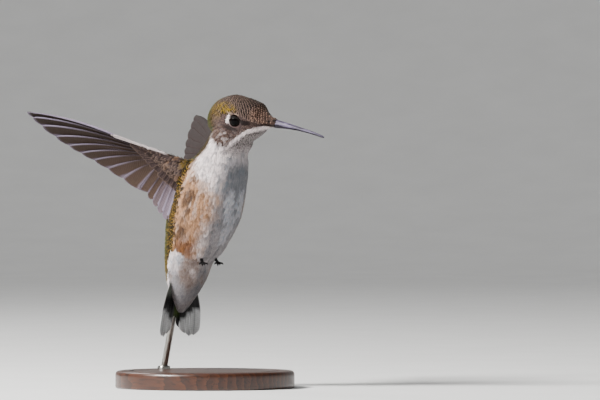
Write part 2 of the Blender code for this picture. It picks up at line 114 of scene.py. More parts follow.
# sideways, back and up from the ankle to each toe's end
TOES = ((-1.65, -0.5, -0.3), (-0.1, -0.95, -0.5), (1.55, -0.5, -0.35), (0.2, 0.15, -0.75))
ROD_FOOT, ROD_TOP, ROD_RADIUS = Vector((2.4, 18.5, 3.2)), Vector((0.6, 7.0, 45.0)), 0.9
CAMERA_TURN = math.radians(-50)
CAMERA_DISTANCE, VIEW_WIDTH, VIEW_MIDDLE = 1.5, 0.174, Vector((0.01771, -0.02110, 0.05444))  # in metres
TRUNK = np.array(TRUNK_STATIONS[::-1])
ARM = np.array(ARM_STATIONS)
HEAD_BACK = np.array(HEAD.inverted())
HEAD_TURN = HEAD.to_3x3()
DEEPEN = 1.45  # how much darker than mixed every paint is laid on


def paint(red, green, blue):
    """A paint mixed on a 0 to 255 scale, deepened so that it holds up in bright, soft light."""
    return tuple((((v / 255 + 0.055) / 1.055) ** 2.4) ** DEEPEN for v in (red, green, blue))


# ---------------------------------------------------------------- what a user may change


def colour_setting(name, description, default):
    return FloatVectorProperty(name=name, description=description, default=default, subtype="COLOR",
                               min=0, max=1)


def length_setting(name, description, default, least):
    """A length; the default and the least are given in millimetres."""
    return FloatProperty(name=name, description=description, default=default * MM, min=least * MM,
                         unit="LENGTH")


class HummingbirdColours(bpy.types.PropertyGroup):
    crown: colour_setting("Crown", "Middle of the crown's scales", paint(96, 78, 78))
    crown_edge: colour_setting("Crown edge", "Rim of the crown's scales", paint(214, 190, 176))
    cinnamon: colour_setting("Cinnamon", "Forehead by the bill", paint(178, 148, 128))
    gold: colour_setting("Gold", "Patch above and behind the eye", paint(172, 148, 60))
    cheek: colour_setting("Cheek", "Ear coverts", paint(140, 120, 118))
    dusky: colour_setting("Dusky", "Lores, specks and brow", paint(62, 48, 46))
    white: colour_setting("White", "Neck and breast", paint(246, 236, 236))
    # Blue-grey of the breast's streaks and of the fluff, also laid on as painted shade down the breast, the
    # lower belly and the undertail.
    shade: colour_setting("Blue shade", "Middle of the belly", paint(190, 198, 208))
    buff: colour_setting("Buff", "Flanks", paint(214, 178, 148))
    orange: colour_setting("Orange", "Lowest part of the flanks", paint(182, 126, 66))
    umber: colour_setting("Umber", "Patches on the flanks", paint(98, 72, 58))
    green: colour_setting("Green", "Back", paint(92, 108, 52))
    bronze: colour_setting("Bronze", "Rims of the back's feathers", paint(190, 160, 82))
    vane: colour_setting("Vane", "Flight feathers from above", paint(68, 56, 54))
    vane_under: colour_setting("Vane under", "Flight feathers from below", paint(84, 71, 64))
    # Laid on as painted sheen along the flight feathers' leading vanes from below, and as their pale fringes.
    sheen_and_fringe: colour_setting("Lavender", "Bright leading vanes from below", paint(206, 196, 216))
    black: colour_setting("Black", "Band across the tail", paint(30, 28, 32))
    tail_white: colour_setting("Tail white", "Tips of the outer tail feathers", paint(226, 228, 230))


class HummingbirdSizes(bpy.types.PropertyGroup):
    coat: length_setting("Coat depth", "From the skin to the tips", 0.45, 0.1)
    crown_pitch: length_setting("Crown pitch", "Between the crown's rows", 0.64, 0.4)
    face_pitch: length_setting("Face pitch", "Between the face's feathers", 0.50, 0.3)
    body_pitch: length_setting("Body pitch", "Between the body's feathers", 0.66, 0.4)
    base_radius: length_setting("Base radius", "Across the turned base, from its middle", 26, 10)
    base_height: length_setting("Base height", "From the floor to the top of the base", 5, 1)


# ---------------------------------------------------------------- small helpers


def bird_tones():
    """The chosen colours, as arrays that can be mixed."""
    chosen = bpy.context.scene.bird_colours
    keys = HummingbirdColours.__annotations__
    return SimpleNamespace(**{key: np.array(getattr(chosen, key)) for key in keys})


def smooth(x, low, high):
    t = np.clip((np.asarray(x, float) - low) / (high - low), 0, 1)
    return t * t * (3 - 2 * t)


def blend(a, b, share):
    share = np.asarray(share, float)
    return a + (b - a) * (share[:, None] if share.ndim == 1 else share)


def unit(vectors):
    return vectors / np.maximum(np.linalg.norm(vectors, axis=-1, keepdims=True), 1e-9)


def mottle(points, size, seed):
    """Soft patches about size across, from -1 to 1."""
    shift = Vector((seed * 7.3, seed * 3.1, seed * 5.7))
    return np.array([noise.noise(Vector(p) / size + shift) for p in points])


def eased_rows(rows, steps):
    """Rows between the given ones, on smooth curves through them."""
    table = np.array(rows, float)
    out = []
    for value in np.linspace(0, len(table) - 1, steps):
        i = min(int(value), len(table) - 2)
        t = value - i
        a, b = table[i], table[i + 1]
        before = table[i - 1] if i else 2 * a - b
        after = table[i + 2] if i + 2 < len(table) else 2 * b - a
        out.append(0.5 * (2 * a + (b - before) * t + (2 * before - 5 * a + 4 * b - after) * t * t
                          + (3 * a - before - 3 * b + after) * t ** 3))
    return out


def around(count, shift=0.0):
    return [2 * math.pi * (i + shift) / count for i in range(count)]


def bezier(points, t):
    level = [np.array(p, float) for p in points]
    while len(level) > 1:
        level = [(1 - t) * a + t * b for a, b in zip(level, level[1:])]
    return level[0]


def oval(centre, side, up, half_width, above, below, count):
    """A ring of points, as high over its centre as above and as far under it as below."""
    ring = []
    for angle in around(count, 0.5):
        rise = math.sin(angle)
        ring.append(centre + side * half_width * math.cos(angle) + up * (above if rise > 0 else below) * rise)
    return ring


def clear_selection():
    if bpy.context.object and bpy.context.object.mode != "OBJECT":
        bpy.ops.object.mode_set(mode="OBJECT")
    bpy.ops.object.select_all(action="DESELECT")


def pick_up(piece):
    clear_selection()
    piece.select_set(True)
    bpy.context.view_layer.objects.active = piece


def placed(name, data):
    """A new object at the origin."""
    thing = bpy.data.objects.new(name, data)
    bpy.context.scene.collection.objects.link(thing)
    return thing


def piece_from(name, shape, material):
    """A new object from a bmesh in metres."""
    mesh = bpy.data.meshes.new(name)
    shape.to_mesh(mesh)
    shape.free()
    mesh.materials.append(material)
    mesh.polygons.foreach_set("use_smooth", [True] * len(mesh.polygons))
    return placed(name, mesh)


def mesh_points(mesh, of="vertices", key="co"):
    """Every vertex of the mesh as rows of numbers, in millimetres if they are places."""
    rows = np.zeros(len(getattr(mesh, of)) * 3, np.float32)
    getattr(mesh, of).foreach_get(key, rows)
    return rows.reshape(-1, 3).astype(float) / (MM if key == "co" else 1)


def paint_points(mesh, colours):
    """Gives each vertex its own colour, which the materials read."""
    layer = mesh.color_attributes.new(name="plumage", type="FLOAT_COLOR", domain="POINT")
    opaque = np.hstack([colours, np.ones((len(colours), 1))])
    layer.data.foreach_set("color", opaque.astype(np.float32).ravel())


def loft(shape, rings, ends=True):
    """Adds a form through rings of points in millimetres, with capped ends or closed into a ring itself."""
    rows = [[shape.verts.new(Vector(point) * MM) for point in ring] for ring in rings]
    faces = []
    for low, high in zip(rows, rows[1:] if ends else rows[1:] + rows[:1]):
        for i, j in zip(range(len(low)), [*range(1, len(low)), 0]):
            faces.append(shape.faces.new((low[i], low[j], high[j], high[i])))
    if ends:
        faces.append(shape.faces.new(rows[0][::-1]))
        faces.append(shape.faces.new(rows[-1]))
    bmesh.ops.recalc_face_normals(shape, faces=faces)


def finished(piece, slot, *nodes):
    """Hangs a piece under the root body and hides the nodes it stands for; the finish, slot, is not used."""
    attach(piece, "root")
    if nodes:
        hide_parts(*nodes)
    return piece


# ---------------------------------------------------------------- materials


class Look:
    """A material in the making. Its even values are set on the shader's own sockets."""

    def __init__(self, name, roughness, sheen=0.0, coat=0.0, specular=0.5, metallic=0.0):
        self.material = bpy.data.materials.new(name)
        self.material.use_nodes = True
        self.tree = self.material.node_tree
        self.shader = self.tree.nodes["Principled BSDF"]
        self.fill(self.shader, {
            "Roughness": roughness, "Sheen Weight": sheen, "Sheen Roughness": 0.4, "Coat Weight": coat,
            "Coat Roughness": 0.08, "Specular IOR Level": specular, "Metallic": metallic})

    def fill(self, node, sockets):
        """Joins each socket to an output, or sets it to a value."""
        for key, value in sockets.items():
            if isinstance(value, bpy.types.NodeSocket):
                self.tree.links.new(value, node.inputs[key])
            else:
                node.inputs[key].default_value = value

    def add(self, kind, sockets=None, **settings):
        node = self.tree.nodes.new("ShaderNode" + kind)
        for key, value in settings.items():
            setattr(node, key, value)
        self.fill(node, sockets or {})
        return node

    def place(self, stretch=None):
        """The piece's own place, in metres."""
        place = self.add("TexCoord").outputs["Object"]
        if stretch:
            place = self.add("Mapping", {"Vector": place, "Scale": stretch}).outputs["Vector"]
        return place

    def noise(self, scale, detail=4.0, stretch=(1, 1, 1)):
        """Scale is in waves for each metre."""
        grain = self.add("TexNoise", {"Vector": self.place(stretch), "Scale": scale, "Detail": detail})
        return grain.outputs["Fac"]

    def math(self, operation, *values):
        return self.add("Math", dict(enumerate(values)), operation=operation).outputs[0]

    def ramp(self, value, *stops):
        """Each stop is a place and a colour or a grey."""
        node = self.add("ValToRGB", {"Fac": value})
        elements = node.color_ramp.elements
        while len(elements) < len(stops):
            elements.new(0.5)
        for element, (place, colour) in zip(elements, stops):
            element.position = place
            element.color = (*(colour if isinstance(colour, tuple) else (colour,) * 3), 1.0)
        return node.outputs["Color"]

    def spread(self, value, low, high, end=1.0):
        sockets = {"Value": value, "To Min": low, "To Max": high, "From Max": end}
        return self.add("MapRange", sockets).outputs["Result"]

    def plumage(self, *factors):
        """The colours that the piece carries, times each factor."""
        return self.times(self.add("VertexColor", layer_name="plumage").outputs["Color"], *factors)

    def times(self, colour, *factors):
        for factor in factors:
            mix = self.add("Mix", {0: 1.0, 6: colour, 7: factor}, data_type="RGBA", blend_type="MULTIPLY")
            colour = mix.outputs[2]
        return colour

    def finish(self, colour, gloss, low, high, height=None, strength=0.0, distance=0.0):
        """Joins the colour, a roughness from low to high, and a relief."""
        self.fill(self.shader, {"Base Color": colour, "Roughness": self.spread(gloss, low, high)})
        if height:
            bump = self.add("Bump", {"Height": height, "Strength": strength, "Distance": distance})
            self.fill(self.shader, {"Normal": bump.outputs["Normal"]})
        return self.material


def feather_material(name, roughness, sheen, lines=9.0, metallic=0.0, depth=0.00003, specular=0.35):
    """Barbs: the piece's own plumage colour, fine lines that lean away from the shaft, and a soft sheen."""
    look = Look(name, roughness, sheen, 0.0, specular, metallic)
    cloud = look.ramp(look.noise(1400.0), (0.3, 0.86), (0.7, 1.0))
    own = look.add("UVMap", uv_map="barbs").outputs["UV"]
    parts = look.add("SeparateXYZ", {"Vector": own}).outputs
    lean = look.math("MULTIPLY_ADD", look.math("ABSOLUTE", parts["X"]), -0.7, parts["Y"])
    wave = look.math("SINE", look.math("MULTIPLY", lean, lines * 2 * math.pi))
    band = look.ramp(look.spread(wave, 0.25, 0.75), (0.2, 0.88), (0.8, 1.0))
    return look.finish(look.plumage(cloud, band), look.noise(900.0), roughness - 0.1, roughness + 0.12,
                       wave, 0.5, depth)


def skin_material():
    look = Look("down_skin", 0.8, 0.3, 0.0, 0.2)
    down = look.noise(2600.0, 6.0)
    cloud = look.ramp(down, (0.3, 0.6), (0.75, 0.95))
    return look.finish(look.plumage(cloud), down, 0.7, 0.95, down, 0.5, 0.0001)


def horn_material(name, depth):
    # Mauve-grey streaks, lighter than the dark horn, partly a painted sheen; depth scales them down for a
    # shaded copy.
    look = Look(name, 0.42, specular=0.2)
    streak = look.noise(500.0, 5.0, (3.0, 0.5, 3.0))
    mixes = ((0.3, (78, 72, 84)), (0.55, (112, 105, 124)), (0.8, (150, 142, 166)))
    horn = look.ramp(streak, *((place, tuple(depth * v for v in paint(*mix))) for place, mix in mixes))
    return look.finish(horn, streak, 0.34, 0.52, streak, 0.3, 0.00004)


def eye_material(name, centre, axis):
    """A near-black pupil in a dark brown iris, wet all over."""
    look = Look(name, 0.05, specular=0.05)
    sockets = {0: look.place(), 1: centre + axis * EYE_RADIUS * MM}
    away = look.add("VectorMath", sockets, operation="DISTANCE").outputs["Value"]
    grain = look.noise(3000.0)
    iris = look.ramp(look.spread(away, 0.0, 1.0, 0.0024), (0.0, 0.001), (0.42, (0.0015, 0.0012, 0.0012)),
                     (0.5, (0.006, 0.0035, 0.0025)), (0.9, (0.003, 0.002, 0.0015)))
    return look.finish(look.times(iris, look.ramp(grain, (0.3, 0.6), (0.7, 1.0))), grain, 0.03, 0.09)


def painted_skin_material(name, roughness, scale, strength):
    """Bare skin or scales in the piece's own colours."""
    look = Look(name, roughness, specular=0.15)
    cells = look.add("TexVoronoi", {"Vector": look.place(), "Scale": scale}, feature="DISTANCE_TO_EDGE")
    seam = cells.outputs["Distance"]
    return look.finish(look.plumage(look.ramp(seam, (0.0, 0.55), (0.16, 1.0))), look.noise(2500.0),
                       roughness - 0.1, roughness + 0.15, seam, strength, 0.00008)


def wood_material():
    look = Look("turned_wood", 0.38, coat=0.35)
    look.fill(look.shader, {"Coat Roughness": 0.2})
    grain = look.add("TexWave", {
        "Vector": look.place((1.0, 0.16, 1.0)), "Scale": 150.0, "Distortion": 5.0, "Detail": 4.0,
        "Detail Scale": 1.6}, wave_type="BANDS", bands_direction="X", wave_profile="SAW")
    figure = look.ramp(grain.outputs["Fac"], (0.0, paint(78, 50, 34)), (0.5, paint(96, 62, 41)),
                       (1.0, paint(112, 74, 48)))
    pores = look.noise(1500.0, 3.0, (1.0, 0.08, 1.0))
    return look.finish(look.times(figure, look.ramp(pores, (0.36, 0.5), (0.48, 1.0))), pores, 0.3, 0.5,
                       pores, 0.25, 0.00006)


def steel_material():
    look = Look("drawn_steel", 0.3, metallic=1.0)
    drawn = look.noise(2600.0, 3.0, (1.0, 1.0, 0.04))
    return look.finish(look.ramp(drawn, (0.3, paint(168, 166, 162)), (0.7, paint(204, 202, 198))), drawn,
                       0.22, 0.4, drawn, 0.2, 0.00002)


def floor_material():
    look = Look("studio_floor", 0.75, specular=0.3)
    paper = look.noise(30.0, 6.0)
    return look.finish(look.ramp(paper, (0.3, (0.80, 0.80, 0.79)), (0.7, (0.84, 0.84, 0.83))), paper,
                       0.7, 0.85, paper, 0.05, 0.0005)


# ---------------------------------------------------------------- plumage


def head_places(points):
    """Out from the middle, forward and up, in the head's own frame."""
    p = points @ HEAD_BACK[:3, :3].T + HEAD_BACK[:3, 3]
    return np.abs(p[:, 0]), -p[:, 1], p[:, 2]


def round_the_body(points):
    """Degrees round the body from the middle of the breast (0) to the middle of the back (180)."""
    middle = np.interp(points[:, 2], TRUNK[:, 0], TRUNK[:, 1])
    return np.degrees(np.arctan2(np.abs(points[:, 0]), -(points[:, 1] - middle)))


def jaw_line(ahead):
    """Height of the lower edge of the cheek, in the head's own frame."""
    return np.interp(ahead, (-9, -6, -3.4, -1.2, 0.6, 2.3, 4.4, 6.8, 8.7),
                     (-5.0, -6.8, -7.6, -7.8, -6.1, -3.8, -1.9, -0.7, 0.0))


def blot(a, b, place, size):
    """1 inside an oval patch, falling softly to 0."""
    return smooth(1.35 - np.hypot((a - place[0]) / size[0], (b - place[1]) / size[1]), 0.0, 0.6)


def streaks(turn, z, wide, tall, seed):
    return np.array([noise.noise(Vector((a / wide, b / tall, seed))) for a, b in zip(turn, z)])


def plumage(points):
    """Base colour, rim colour and darkness of the middle, for the coat at each place in millimetres."""
    c = bird_tones()
    base = np.tile(c.white, (len(points), 1))
    rim = base * 1.04
    dark = np.zeros(len(points))

    def lay(share, colour, edge=None, middle=None):
        nonlocal base, rim, dark
        base = blend(base, colour, share)
        rim = blend(rim, colour if edge is None else edge, share)
        if middle is not None:
            dark = dark + (middle - dark) * share

    turn, z = round_the_body(points), points[:, 2]
    fine, broad = mottle(points, 0.9, 1), mottle(points, 2.6, 2)
    paint_front(lay, c, turn, z, fine, broad)
    paint_back(lay, c, turn, z, fine, mottle(points, 4.5, 3))
    paint_under_tail(lay, c, turn, z, fine, broad)
    paint_head(lay, c, points, turn, fine, broad)
    paint_face(lay, c, points, fine)
    return np.clip(base, 0, 1), np.clip(rim, 0, 1), dark


def paint_front(lay, c, turn, z, fine, broad):
    """Breast, belly and flanks."""
    streak, dash = streaks(turn, z, 7, 3.5, 2.0), streaks(turn, z, 3.0, 1.5, 8.0)
    # Painted shade: the breast within about 50 degrees of its middle, from the belly up to the neck, darker
    # blue-grey.
    lay(smooth(50 - turn + 5 * streak, 0, 30) * smooth(z, 40, 48) * smooth(71 - z, 0, 8) * 0.92,
        c.shade * 0.28)
    lay(smooth(streak, 0.05, 0.4) * smooth(95 - turn, 0, 30) * 0.55, c.shade * 0.42)
    lay(smooth(dash, 0.0, 0.3) * smooth(100 - turn, 0, 20) * smooth(turn, 0, 30) * 0.6, c.shade * 0.34,
        c.white * 0.85)
    # Painted shade: the lower belly near the middle darker.
    lay(smooth(46 - turn, 0, 24) * smooth(50 - z, 0, 8) * 0.87, c.shade * 0.23, c.white * 0.34)
    lay(smooth(-streak, 0.1, 0.45) * smooth(turn, 22, 40) * smooth(64 - z, 0, 8) * 0.45, c.buff * 0.9)
    # Painted shade and painted highlights on the breast: a darker streak about 31 degrees from the middle,
    # and two pale blue-white streaks nearer the middle.
    lay(blot(turn + 5 * fine, z + broad, (31, 48.5), (6, 5)) * 0.7, c.shade * 0.26, c.white * 0.4)
    lay(blot(turn + 6 * fine, z + 1.5 * broad, (12, 53.5), (8, 4)) * 0.55, c.shade * 1.15, c.white)
    lay(blot(turn + 6 * fine, z + 1.5 * broad, (3, 46.0), (7, 4)) * 0.45, c.shade * 1.0, c.white * 0.9)
    front = np.interp(z, (42, 45, 48, 54, 58, 62, 66), (46, 44, 37, 34, 50, 80, 108))
    flank = smooth(turn + 11 * broad + 9 * fine, front - 18, front + 22) * smooth(71 - z, 0, 5)
    pale = smooth(streak, -0.1, 0.4) * 0.55
    lay(flank, blend(np.tile(c.buff * 0.78, (len(z), 1)), c.white * 0.75, pale), c.buff * 0.95, 0.3)
    lowest = np.exp(-((z + 1.5 * fine - 40.8) / 3.2) ** 2)
    lowest = lowest * smooth(turn + 8 * fine, 40, 62) * smooth(108 - turn, 0, 20)
    lay(lowest * 0.85, c.orange * 0.42, c.orange * 0.62, 0.35)
    spots = smooth(0.6 * broad + 0.7 * fine, 0.0, 0.5) * smooth(turn, 60, 84)
    for place, size in (((84, 55.5), (9, 2.2)), ((80, 51.0), (7, 1.6)), ((84, 45.5), (9, 2.2))):
        spots = np.maximum(spots, blot(turn + 8 * fine, z + broad, place, size))
    lay(flank * smooth(dash, -0.1, 0.4) * 0.4, c.umber * 0.6, c.buff * 0.5, 0.3)
    lay(flank * spots * 0.8, c.umber * 0.28, c.buff * 0.22, 0.3)


def paint_back(lay, c, turn, z, fine, wide):
    """Bronze-green, browner towards the flanks."""
    edge = np.interp(z, (44, 52, 62, 68), (0, 2, 8, 10))
    back = smooth(turn + 6 * fine - edge, 96, 104) * smooth(76 - z, 0, 6)
    leaf = blend(np.tile(c.green, (len(z), 1)), c.bronze * 0.75, smooth(wide, -0.2, 0.5) * 0.6)
    leaf = blend(leaf, c.umber * 0.9, smooth(128 - turn, 0, 16) * 0.75)
    glint = smooth(turn, 118, 145)
    rims = blend(np.tile(c.bronze * 0.7, (len(z), 1)), c.green * 1.3 + c.bronze * 0.25, glint)
    lay(back, leaf * (0.36 + 0.5 * glint)[:, None], rims, 0.5)
    lay(back * smooth(fine, 0.15, 0.4) * 0.6, c.dusky)


def paint_under_tail(lay, c, turn, z, fine, broad):
    """White fluff above the tail, and the shaded coverts under it."""
    edge = np.interp(turn, (0, 50, 66, 94, 112, 125, 180), (37.6, 38.0, 38.8, 41.0, 40.0, 33.0, 30.0))
    edge = edge + broad * 0.5
    under = smooth(edge - z, 0, 0.9)
    tufts = blend(np.tile(c.white * 0.97, (len(z), 1)), c.shade, smooth(broad, -0.1, 0.4))
    lay(under, tufts * 0.85, c.white * 0.9, 0.0)
    # Painted shade: the coverts below the fluff's edge darker blue-grey.
    lay(smooth(edge - 2.5 + 1.5 * broad - z, 0, 4.0), c.shade * 0.34, c.white * 0.5)
    # Painted shade: the coverts under the tail darker still near the middle.
    lay(under * smooth(44 - turn, 0, 30) * 0.82, c.shade * 0.18, c.white * 0.29)
    tan = smooth(edge - 3.6 - z, 0, 2.0) * smooth(broad + 0.4 * fine, -0.1, 0.35)
    lay(tan * 0.7, c.buff * 0.26, c.white * 0.45, 0.45)
    lay(under * blot(turn, z, (48, 33.5), (26, 5.4)) * smooth(broad + 0.6 * fine, -1.6, -0.1) * 0.9,
        c.buff * 0.32, c.white * 0.42, 0.4)
    lay(under * blot(turn, z, (70, 27.0), (26, 4.0)) * 0.8, c.shade * 0.45, c.white * 0.6, 0.2)
    # Painted shade: the lowest coverts, on the front half, darker.
    lay(smooth(31.5 - z + broad, 0, 4) * smooth(105 - turn, 0, 30) * 0.6, c.shade * 0.26, c.white * 0.38)


def paint_head(lay, c, points, turn, fine, broad):
    """Cheek, throat, crown, nape and forehead."""
    _, ahead, up = head_places(points)
    z = points[:, 2]
    jaw = jaw_line(ahead) + 0.35 * fine
    on_head = smooth(up - jaw, -0.2, 0.5) * smooth(z, 66.5, 69)
    lay(on_head, c.cheek * 0.40, c.crown_edge * 0.42, 0.3)
    lay(on_head * smooth(fine, 0.0, 0.35) * smooth(-up, 1.5, 4) * 0.7, c.umber * 0.6, c.crown_edge * 0.4, 0.4)
    lay(on_head * smooth(-fine, 0.05, 0.4) * smooth(-up, 1.5, 5) * 0.5, c.white * 0.55, c.white * 0.8)
    # The throat grey: partly its own dusky tone, partly painted shade under the chin.
    throat = smooth(jaw - 0.5 - up, 0, 1.0) * smooth(z, 66.0, 71.0) * smooth(62 - turn, 0, 16)
    lay(throat, c.white * 0.24, c.white * 0.38, 0.6)
    lay(throat * smooth(mottle(points, 0.5, 6), 0.0, 0.3) * 0.5, c.umber * 0.5, c.white * 0.4)
    lay(blot(ahead, up, (-2.6, -7.2), (2.4, 0.9)) * 0.85 * smooth(fine, -0.3, 0.2), c.umber * 0.5)
    brow = np.interp(ahead, (-9, -5, -2, 0.5, 3, 6, 9), (-2.0, 0.4, 1.9, 2.5, 1.8, 1.2, 0.5))
    lay(smooth(up - brow + 0.3 * fine, -0.2, 0.5), c.crown * 0.16, c.crown_edge * 0.40, 0.4)
    nape = smooth(-ahead + 0.5 * broad, 5.6, 8.0) * smooth(z, 66, 70) * smooth(turn, 88, 112)
    lay(nape, c.gold * 0.07 + c.umber * 0.2, c.bronze * 0.2 + c.crown_edge * 0.12, 0.4)
    lay(nape * smooth(turn, 118, 138), c.green * 0.45, c.green * 0.6 + c.bronze * 0.3, 0.5)
    gilt = blot(ahead, up, (-3.0, 2.7), (3.2, 1.4))
    gilt = np.maximum(gilt, blot(ahead, up, (-6.0, 1.2), (2.0, 2.2)) * 0.5)
    lay(gilt * smooth(fine, -0.5, 0.1), c.gold * 0.12, c.gold * 1.25, 0.5)
    forehead = smooth(ahead + 0.8 * broad, 3.0, 6.4) * smooth(up - brow, -0.5, 0.6) * smooth(6.2 - up, 0, 3.0)
    lay(forehead * smooth(fine, -0.6, 0.0) * 0.8, c.crown * 0.5 + c.cinnamon * 0.2,
        c.cinnamon * 0.85 + c.crown_edge * 0.85, 0.5)


def paint_face(lay, c, points, fine):
    """The marks round the eye and along the gape."""
    out, ahead, up = head_places(points)
    side = smooth(out, 3, 4)
    lay(blot(ahead, up, (3.6, 0.3), (1.5, 0.75)), c.dusky * 0.8, c.dusky * 1.5)
    lay(blot(ahead, up, (5.6, 0.5), (1.6, 0.5)) * 0.5, c.dusky, c.dusky * 2.2)
    lay(blot(ahead, up, (-0.4, 2.0), (1.7, 0.4)) * 0.75 * smooth(fine, -0.5, 0.1), c.crown_edge * 0.75)
    lay(blot(ahead, up, (-1.85, 0.2), (0.42, 1.3)) * side, c.white * 1.1, c.white * 1.15, 0.0)
    lay(blot(ahead, up, (-0.6, -2.3), (2.2, 0.6)) * 0.8 * side, c.dusky * 0.9)
    band = np.interp(ahead, (0.0, 2.3, 4.4, 6.8, 8.7), (-6.3, -4.3, -2.3, -1.0, -0.3))
    whiskers = 0.5 + 0.5 * smooth(mottle(points * (1, 1, 1.6), 0.6, 9), -0.35, 0.1)
    stripe = smooth(0.82 - np.abs(up - band), 0, 0.5) * smooth(ahead, -0.6, 1.6) * smooth(out, 1.0, 2.2)
    lay(stripe * whiskers, c.white * 0.95, c.white * 1.1, 0.0)
    lay(smooth(0.42 - np.abs(up - band - 1.1), 0, 0.25) * smooth(ahead, 6.6, 8.2) * 0.9, c.dusky * 0.6)


def wing_axes(reach):
    """Directions back along the right wing's chord and out of its underside."""
    share = min(max(reach / HAND_REACH, 0.0), 1.0)
    twist = TWIST[0] + (TWIST[1] - TWIST[0]) * share * share * (3 - 2 * share)
    level, down = math.cos(twist), math.sin(twist)
    return WING_DOWN * level + WING_INWARD * down, WING_DOWN * down - WING_INWARD * level


def wing_place(reach, chord, lift, side):
    back, under = wing_axes(reach)
    point = SHOULDER + WING_OUT * reach + back * chord + under * lift
    return Vector((-side * point.x, point.y, point.z))


def under_wing(reach, side):
    """The way that the underside of a wing faces."""
    under = wing_axes(reach)[1]
    return Vector((-side * under.x, under.y, under.z))


def wing_coordinates(points):
    """Reach, chord, lift towards the underside and the way back, for points on either side's arm."""
    rows = []
    for x, y, z in points:
        away = Vector((-abs(x), y, z)) - SHOULDER
        reach = away.dot(WING_OUT)
        back, under = wing_axes(reach)
        rows.append((reach, away.dot(back), away.dot(under), *back))
    return np.array(rows)


def on_arm(points):
    """Which places belong to the feathered arms and not to the body."""
    z = points[:, 2]
    middle, half, front, rear = (np.interp(z, TRUNK[:, 0], TRUNK[:, k]) for k in range(1, 5))
    depth = points[:, 1] - middle
    outside = (points[:, 0] / half) ** 2 + (depth / np.where(depth < 0, front, rear)) ** 2
    return (outside > 1.22) & (z > 56) & (z < 76) & (points[:, 1] > -5.5)


def arm_front(reach):
    """Where along the chord the arm's leading edge is."""
    return np.interp(reach, ARM[:, 0], ARM[:, 1] - ARM[:, 2])


def arm_plumage(points, wing):
    """The coverts: mottled below with a cream leading edge, bronze-green above."""
    c = bird_tones()
    reach, chord = wing[:, 0], wing[:, 1]
    fine, broad = mottle(points, 0.8, 4), mottle(points, 2.0, 5)
    below = smooth(wing[:, 2], -0.5, 0.5)
    base = np.tile(c.green * 0.6, (len(points), 1))
    base = blend(base, c.vane, smooth(reach, 6, 14) * 0.8)
    rim = np.tile(c.bronze * 0.42, (len(points), 1))
    rim = blend(rim, c.crown_edge * 0.36 * 0.6, smooth(reach, 8, 14))
    base, rim = blend(base, c.cheek * 0.32, below), blend(rim, c.crown_edge * 0.36, below)
    base = blend(base, c.umber * 0.4, below * smooth(fine + broad, 0.1, 0.5))
    base = blend(base, c.umber * 0.25, below * smooth(chord, 0.4, 1.6) * smooth(reach, 4, 8) * 0.7)
    base = blend(base, c.buff * 0.45, below * smooth(-broad, 0.15, 0.4) * smooth(9 - reach, 0, 4) * 0.7)
    cream = smooth(arm_front(reach) + 0.85 - chord, 0, 0.35) * smooth(reach, 7.5, 10)
    base, rim = blend(base, c.white * 0.9, cream), blend(rim, c.white, cream)
    base = blend(base, c.gold * 0.5, below * blot(reach, chord, (1.0, 0.2), (2.4, 1.6)) * 0.8)
    return np.clip(base, 0, 1), np.clip(rim, 0, 1), 0.35 * np.ones(len(points))


def lie(points, arm=None):
    """Which way the feathers lie: away from the bill over the head, down the body, back along the wing."""
    if arm is not None:
        share = smooth(arm[:, 1], -1.5, 2.5)[:, None]
        across = np.array(WING_OUT) * (0.95 - 0.5 * share) + arm[:, 3:6] * (0.35 + 0.6 * share)
        across[:, 0] *= np.where(points[:, 0] < 0, 1, -1)
        return across
    over_head = unit(points - np.array(HEAD @ Vector((0, -11.0, 1.0))))
    turn = round_the_body(points)
    down = np.tile(np.array((0.0, 0.10, -1.0)), (len(points), 1))
    down[:, 0] += 0.16 * np.sign(points[:, 0]) * smooth(60 - turn, 0, 60)
    down[:, 1] += 0.16 * smooth(turn, 20, 80)
    return blend(over_head, unit(down), smooth(78 - points[:, 2], 0, 11))


def skin_tree():
    mesh = bpy.data.objects["skin"].data
    faces = [tuple(face.vertices) for face in mesh.polygons]
    return BVHTree.FromPolygons([Vector(p) for p in mesh_points(mesh)], faces)


TRIES = 7.0  # places tried for each one that fits
CELL = 1.4  # side of the boxes that places are looked up in, in millimetres
NEIGHBOURS = [(x, y, z) for x in (-1, 0, 1) for y in (-1, 0, 1) for z in (-1, 0, 1)]


def scatter_roots(pitch_of, seed):
    """Places on the skin about a pitch apart; pitch_of gives the pitch at each place, or 0 for none."""
    mesh = bpy.data.objects["skin"].data
    mesh.calc_loop_triangles()
    corners = np.zeros(len(mesh.loop_triangles) * 3, np.int32)
    mesh.loop_triangles.foreach_get("vertices", corners)
    points = mesh_points(mesh)
    a, b, c = (points[corners[k::3]] for k in range(3))
    area = np.linalg.norm(np.cross(b - a, c - a), axis=1) / 2
    pitch = pitch_of((a + b + c) / 3)
    rng = np.random.default_rng(seed)
    wanted = np.where(pitch > 0, area * TRIES / np.maximum(pitch, 0.1) ** 2, 0)
    picks = np.repeat(np.arange(len(area)), rng.poisson(wanted))
    rng.shuffle(picks)
    u, v = rng.random(len(picks)), rng.random(len(picks))
    flip = u + v > 1
    u, v = np.where(flip, 1 - u, u), np.where(flip, 1 - v, v)
    places = a[picks] + (b - a)[picks] * u[:, None] + (c - a)[picks] * v[:, None]
    grid, kept = {}, []
    for i, (place, apart) in enumerate(zip(places.tolist(), pitch[picks].tolist())):
        x, y, z = place
        cell = (int(x // CELL), int(y // CELL), int(z // CELL))
        near = (spot for dx, dy, dz in NEIGHBOURS
                for spot in grid.get((cell[0] + dx, cell[1] + dy, cell[2] + dz), ()))
        if all((p - x) ** 2 + (q - y) ** 2 + (r - z) ** 2 >= apart * apart for p, q, r in near):
            grid.setdefault(cell, []).append(place)
            kept.append(i)
    return places[kept]


